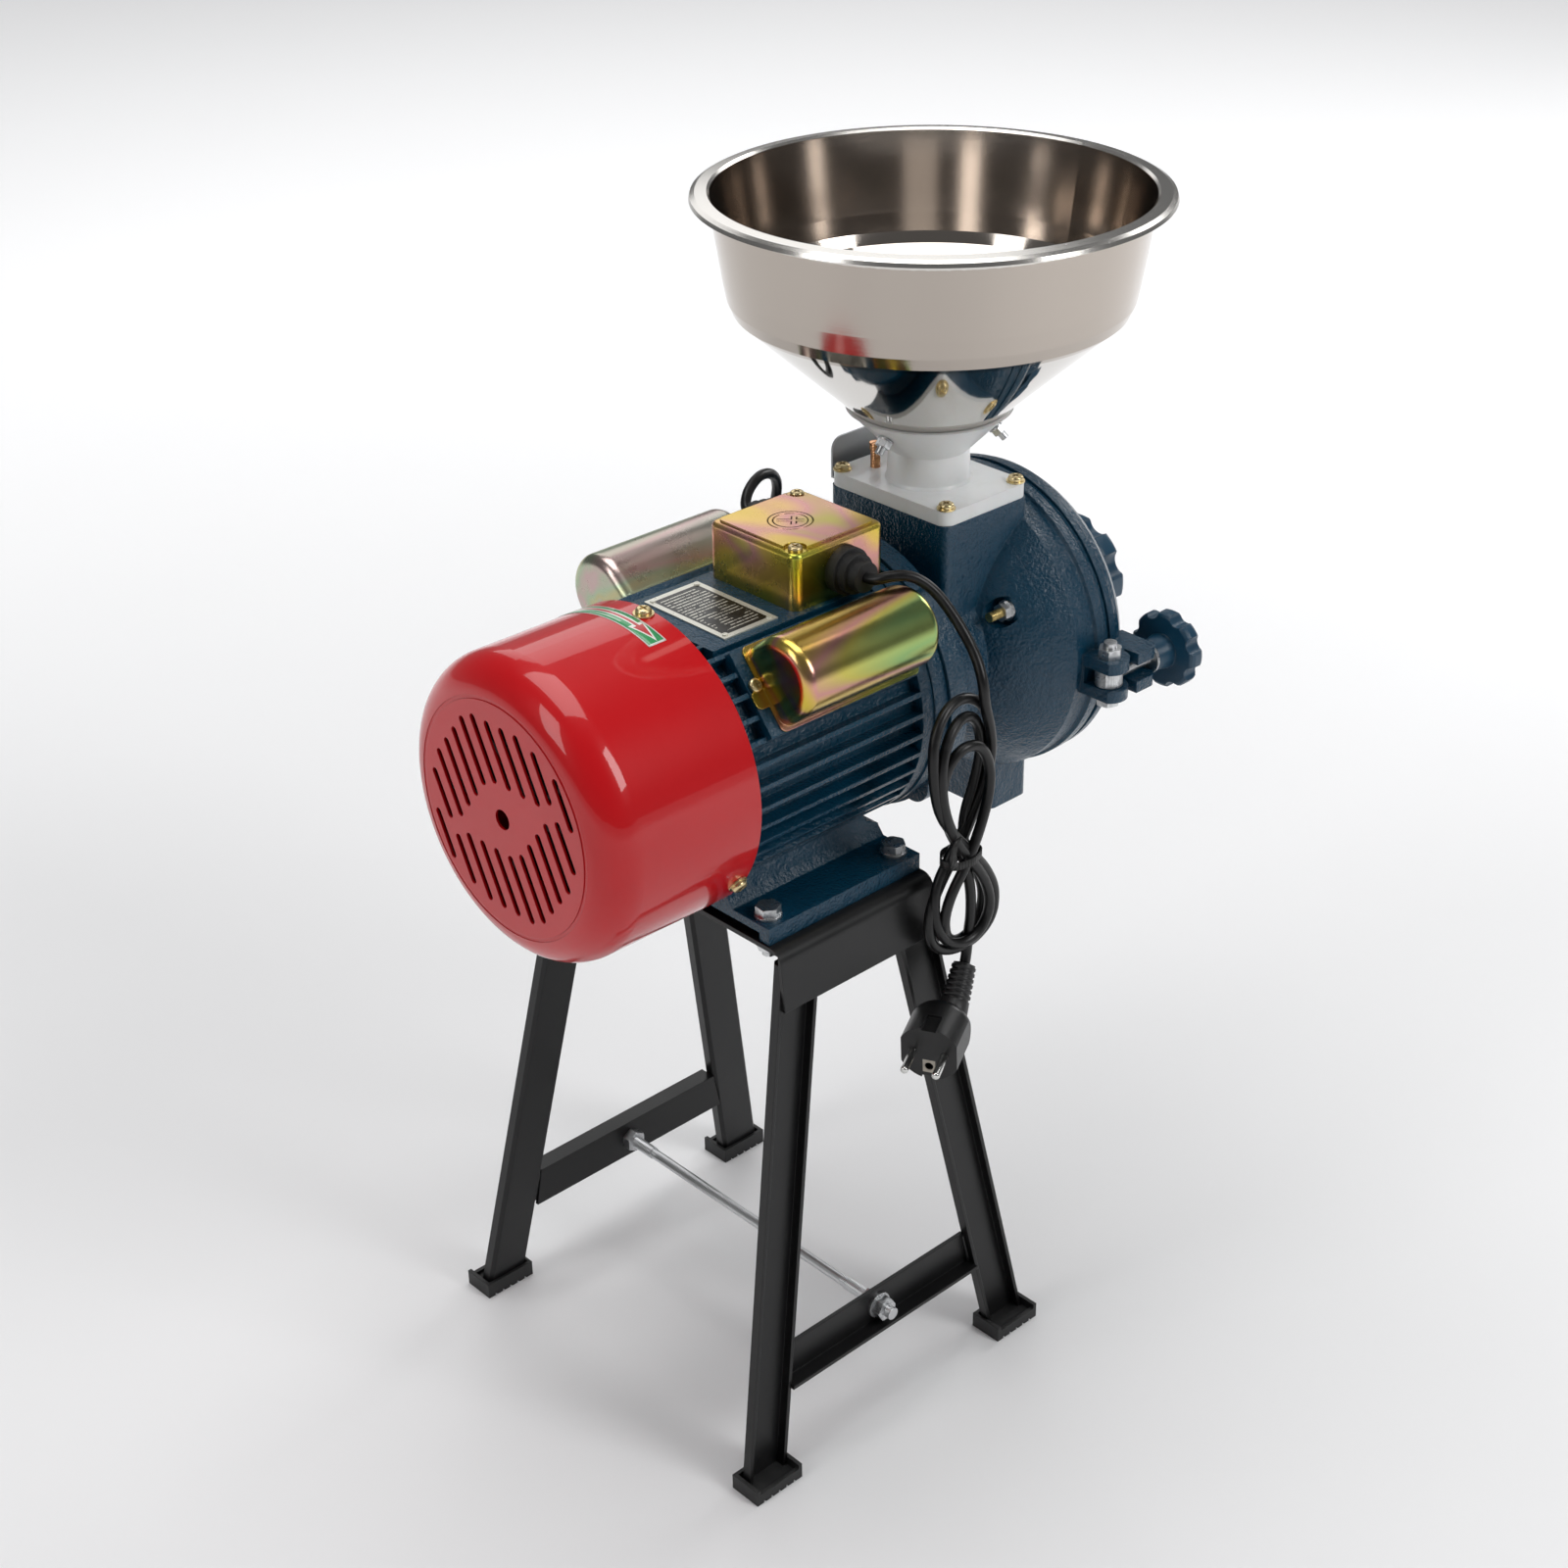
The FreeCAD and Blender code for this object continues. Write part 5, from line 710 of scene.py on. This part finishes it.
# --- inside the motor -----------------------------------------------------------------
# Parts only seen through the cowl's slots or with a cover off: the dark fan and
# capacitors, the laminated cores, the varnished copper, the ground shaft and bearings,
# and the bare iron burrs and rear shield. The laminations are 0.5 mm thick, given as
# waves in radians to the metre.
LAMINA_TURNS = 12566
fan, at, feed = finish("fan plastic")
feed(base_color=at.noise(70, 4).between((0.01, 0.01, 0.011), (0.03, 0.03, 0.031)),
     roughness=at.noise(90, 3) * 0.2 + 0.45, normal=at.bump(at.noise(900, 3), 0.0001, 0.4, 0.0006))
dress(fan, "cooling_fan", "capacitors")
core, at, feed = finish("laminated core", metallic=1.0)
laminae = (at.part("X") * LAMINA_TURNS).maths("SINE")
feed(base_color=at.noise(80, 4).between((0.2, 0.2, 0.21), (0.34, 0.33, 0.32)),
     roughness=at.noise(200, 3) * 0.2 + 0.38, normal=at.bump(laminae, 0.00015, 0.7))
dress(core, "stator_core", "rotor_core")
winding, at, feed = finish("varnished copper", metallic=0.8, coat_weight=0.6)
strands = at.stretched(1, 6, 6).noise(420, 2)
feed(base_color=strands.between((0.42, 0.13, 0.05), (0.7, 0.3, 0.12)),
     roughness=strands * 0.2 + 0.3,
     normal=at.bump(strands, 0.0005, 0.8))
dress(winding, "stator_windings")
ground, at, feed = finish("ground steel", metallic=1.0)
turned_marks = at.stretched(1, 0.02, 0.02).noise(5200, 2)
feed(base_color=at.noise(80, 3).between((0.5, 0.5, 0.51), (0.64, 0.64, 0.65)),
     roughness=turned_marks * 0.16 + 0.18,
     normal=at.bump(turned_marks, 0.00005, 0.6, 0.0004))
dress(ground, "motor_shaft", "bearings", "drive_disc", "feed_auger", "adjusting_spindle")
iron, at, feed = finish("bare cast iron", metallic=0.9)
rust = at.noise(60, 5, 0.65).step(0.62, 0.85)
feed(base_color=rust.between((0.16, 0.16, 0.165), (0.16, 0.07, 0.035)),
     roughness=rust * 0.25 + 0.42,
     normal=at.bump(at.noise(620, 4), 0.0004, 0.6, 0.0006))
dress(iron, "static_burr", "runner_burr", "rear_shield")

# --- studio ---------------------------------------------------------------------------
# Pale seamless floor under large soft boxes, with a painted glow: its emission is faint beside the
# mill and brightens away from it.
FLOOR_HALF = 14
shape = bmesh.new()
for x, y in ((-1, -1), (1, -1), (1, 1), (-1, 1)):
    shape.verts.new((x * FLOOR_HALF, y * FLOOR_HALF, 0))
shape.faces.new(shape.verts)
floor = mesh_piece("floor", shape, smooth=False)
pale, at, feed = finish("floor paper with painted glow", roughness=0.75, emission_strength=1.0)
away = distance(at.part("X"), at.part("Y"))
# The base colour is the paper's own; the emission colour is painted light, a glow that rises with
# distance from the mill.
feed(base_color=at.noise(3, 3).between((0.80, 0.80, 0.805), (0.82, 0.82, 0.825)),
     emission_color=away.step(0.2, 2.6).between((0.01, 0.01, 0.012), (0.44, 0.44, 0.445)))
floor.data.materials.append(pale)


def soft_box(name, place, target, width, height, watts):
    """A white rectangular lamp that faces its target."""
    data = bpy.data.lights.new(name, "AREA")
    data.shape = "RECTANGLE"
    data.size = width
    data.size_y = height
    data.energy = watts
    lamp = bpy.data.objects.new(name, data)
    lamp.location = place
    lamp.rotation_euler = (Vector(target) - Vector(place)).to_track_quat("-Z", "Y").to_euler()
    bpy.context.collection.objects.link(lamp)


soft_box("key", (0.9, -2.6, 2.3), (0.1, 0, 0.35), 1.0, 1.6, 38)
soft_box("fill", (-2.9, 0.4, 2.2), (0, 0, 0.3), 1.0, 2.0, 24)
soft_box("overhead", (0.2, 0.4, 3.4), (0.1, 0, 0.3), 2.4, 2.4, 62)
soft_box("side", (3.2, 0.2, 1.9), (0.1, 0, 0.4), 1.0, 1.8, 26)
soft_box("back", (1.9, 2.7, 2.3), (0.1, 0, 0.4), 2.2, 1.8, 15)
world = bpy.data.worlds.new("room")
world.use_nodes = True
air = world.node_tree.nodes["Background"]
air.inputs["Color"].default_value = (0.93, 0.94, 0.95, 1)
air.inputs["Strength"].default_value = 0.15
bpy.context.scene.world = world
bpy.context.scene.view_settings.view_transform = "Standard"

bpy.context.view_layer.update()
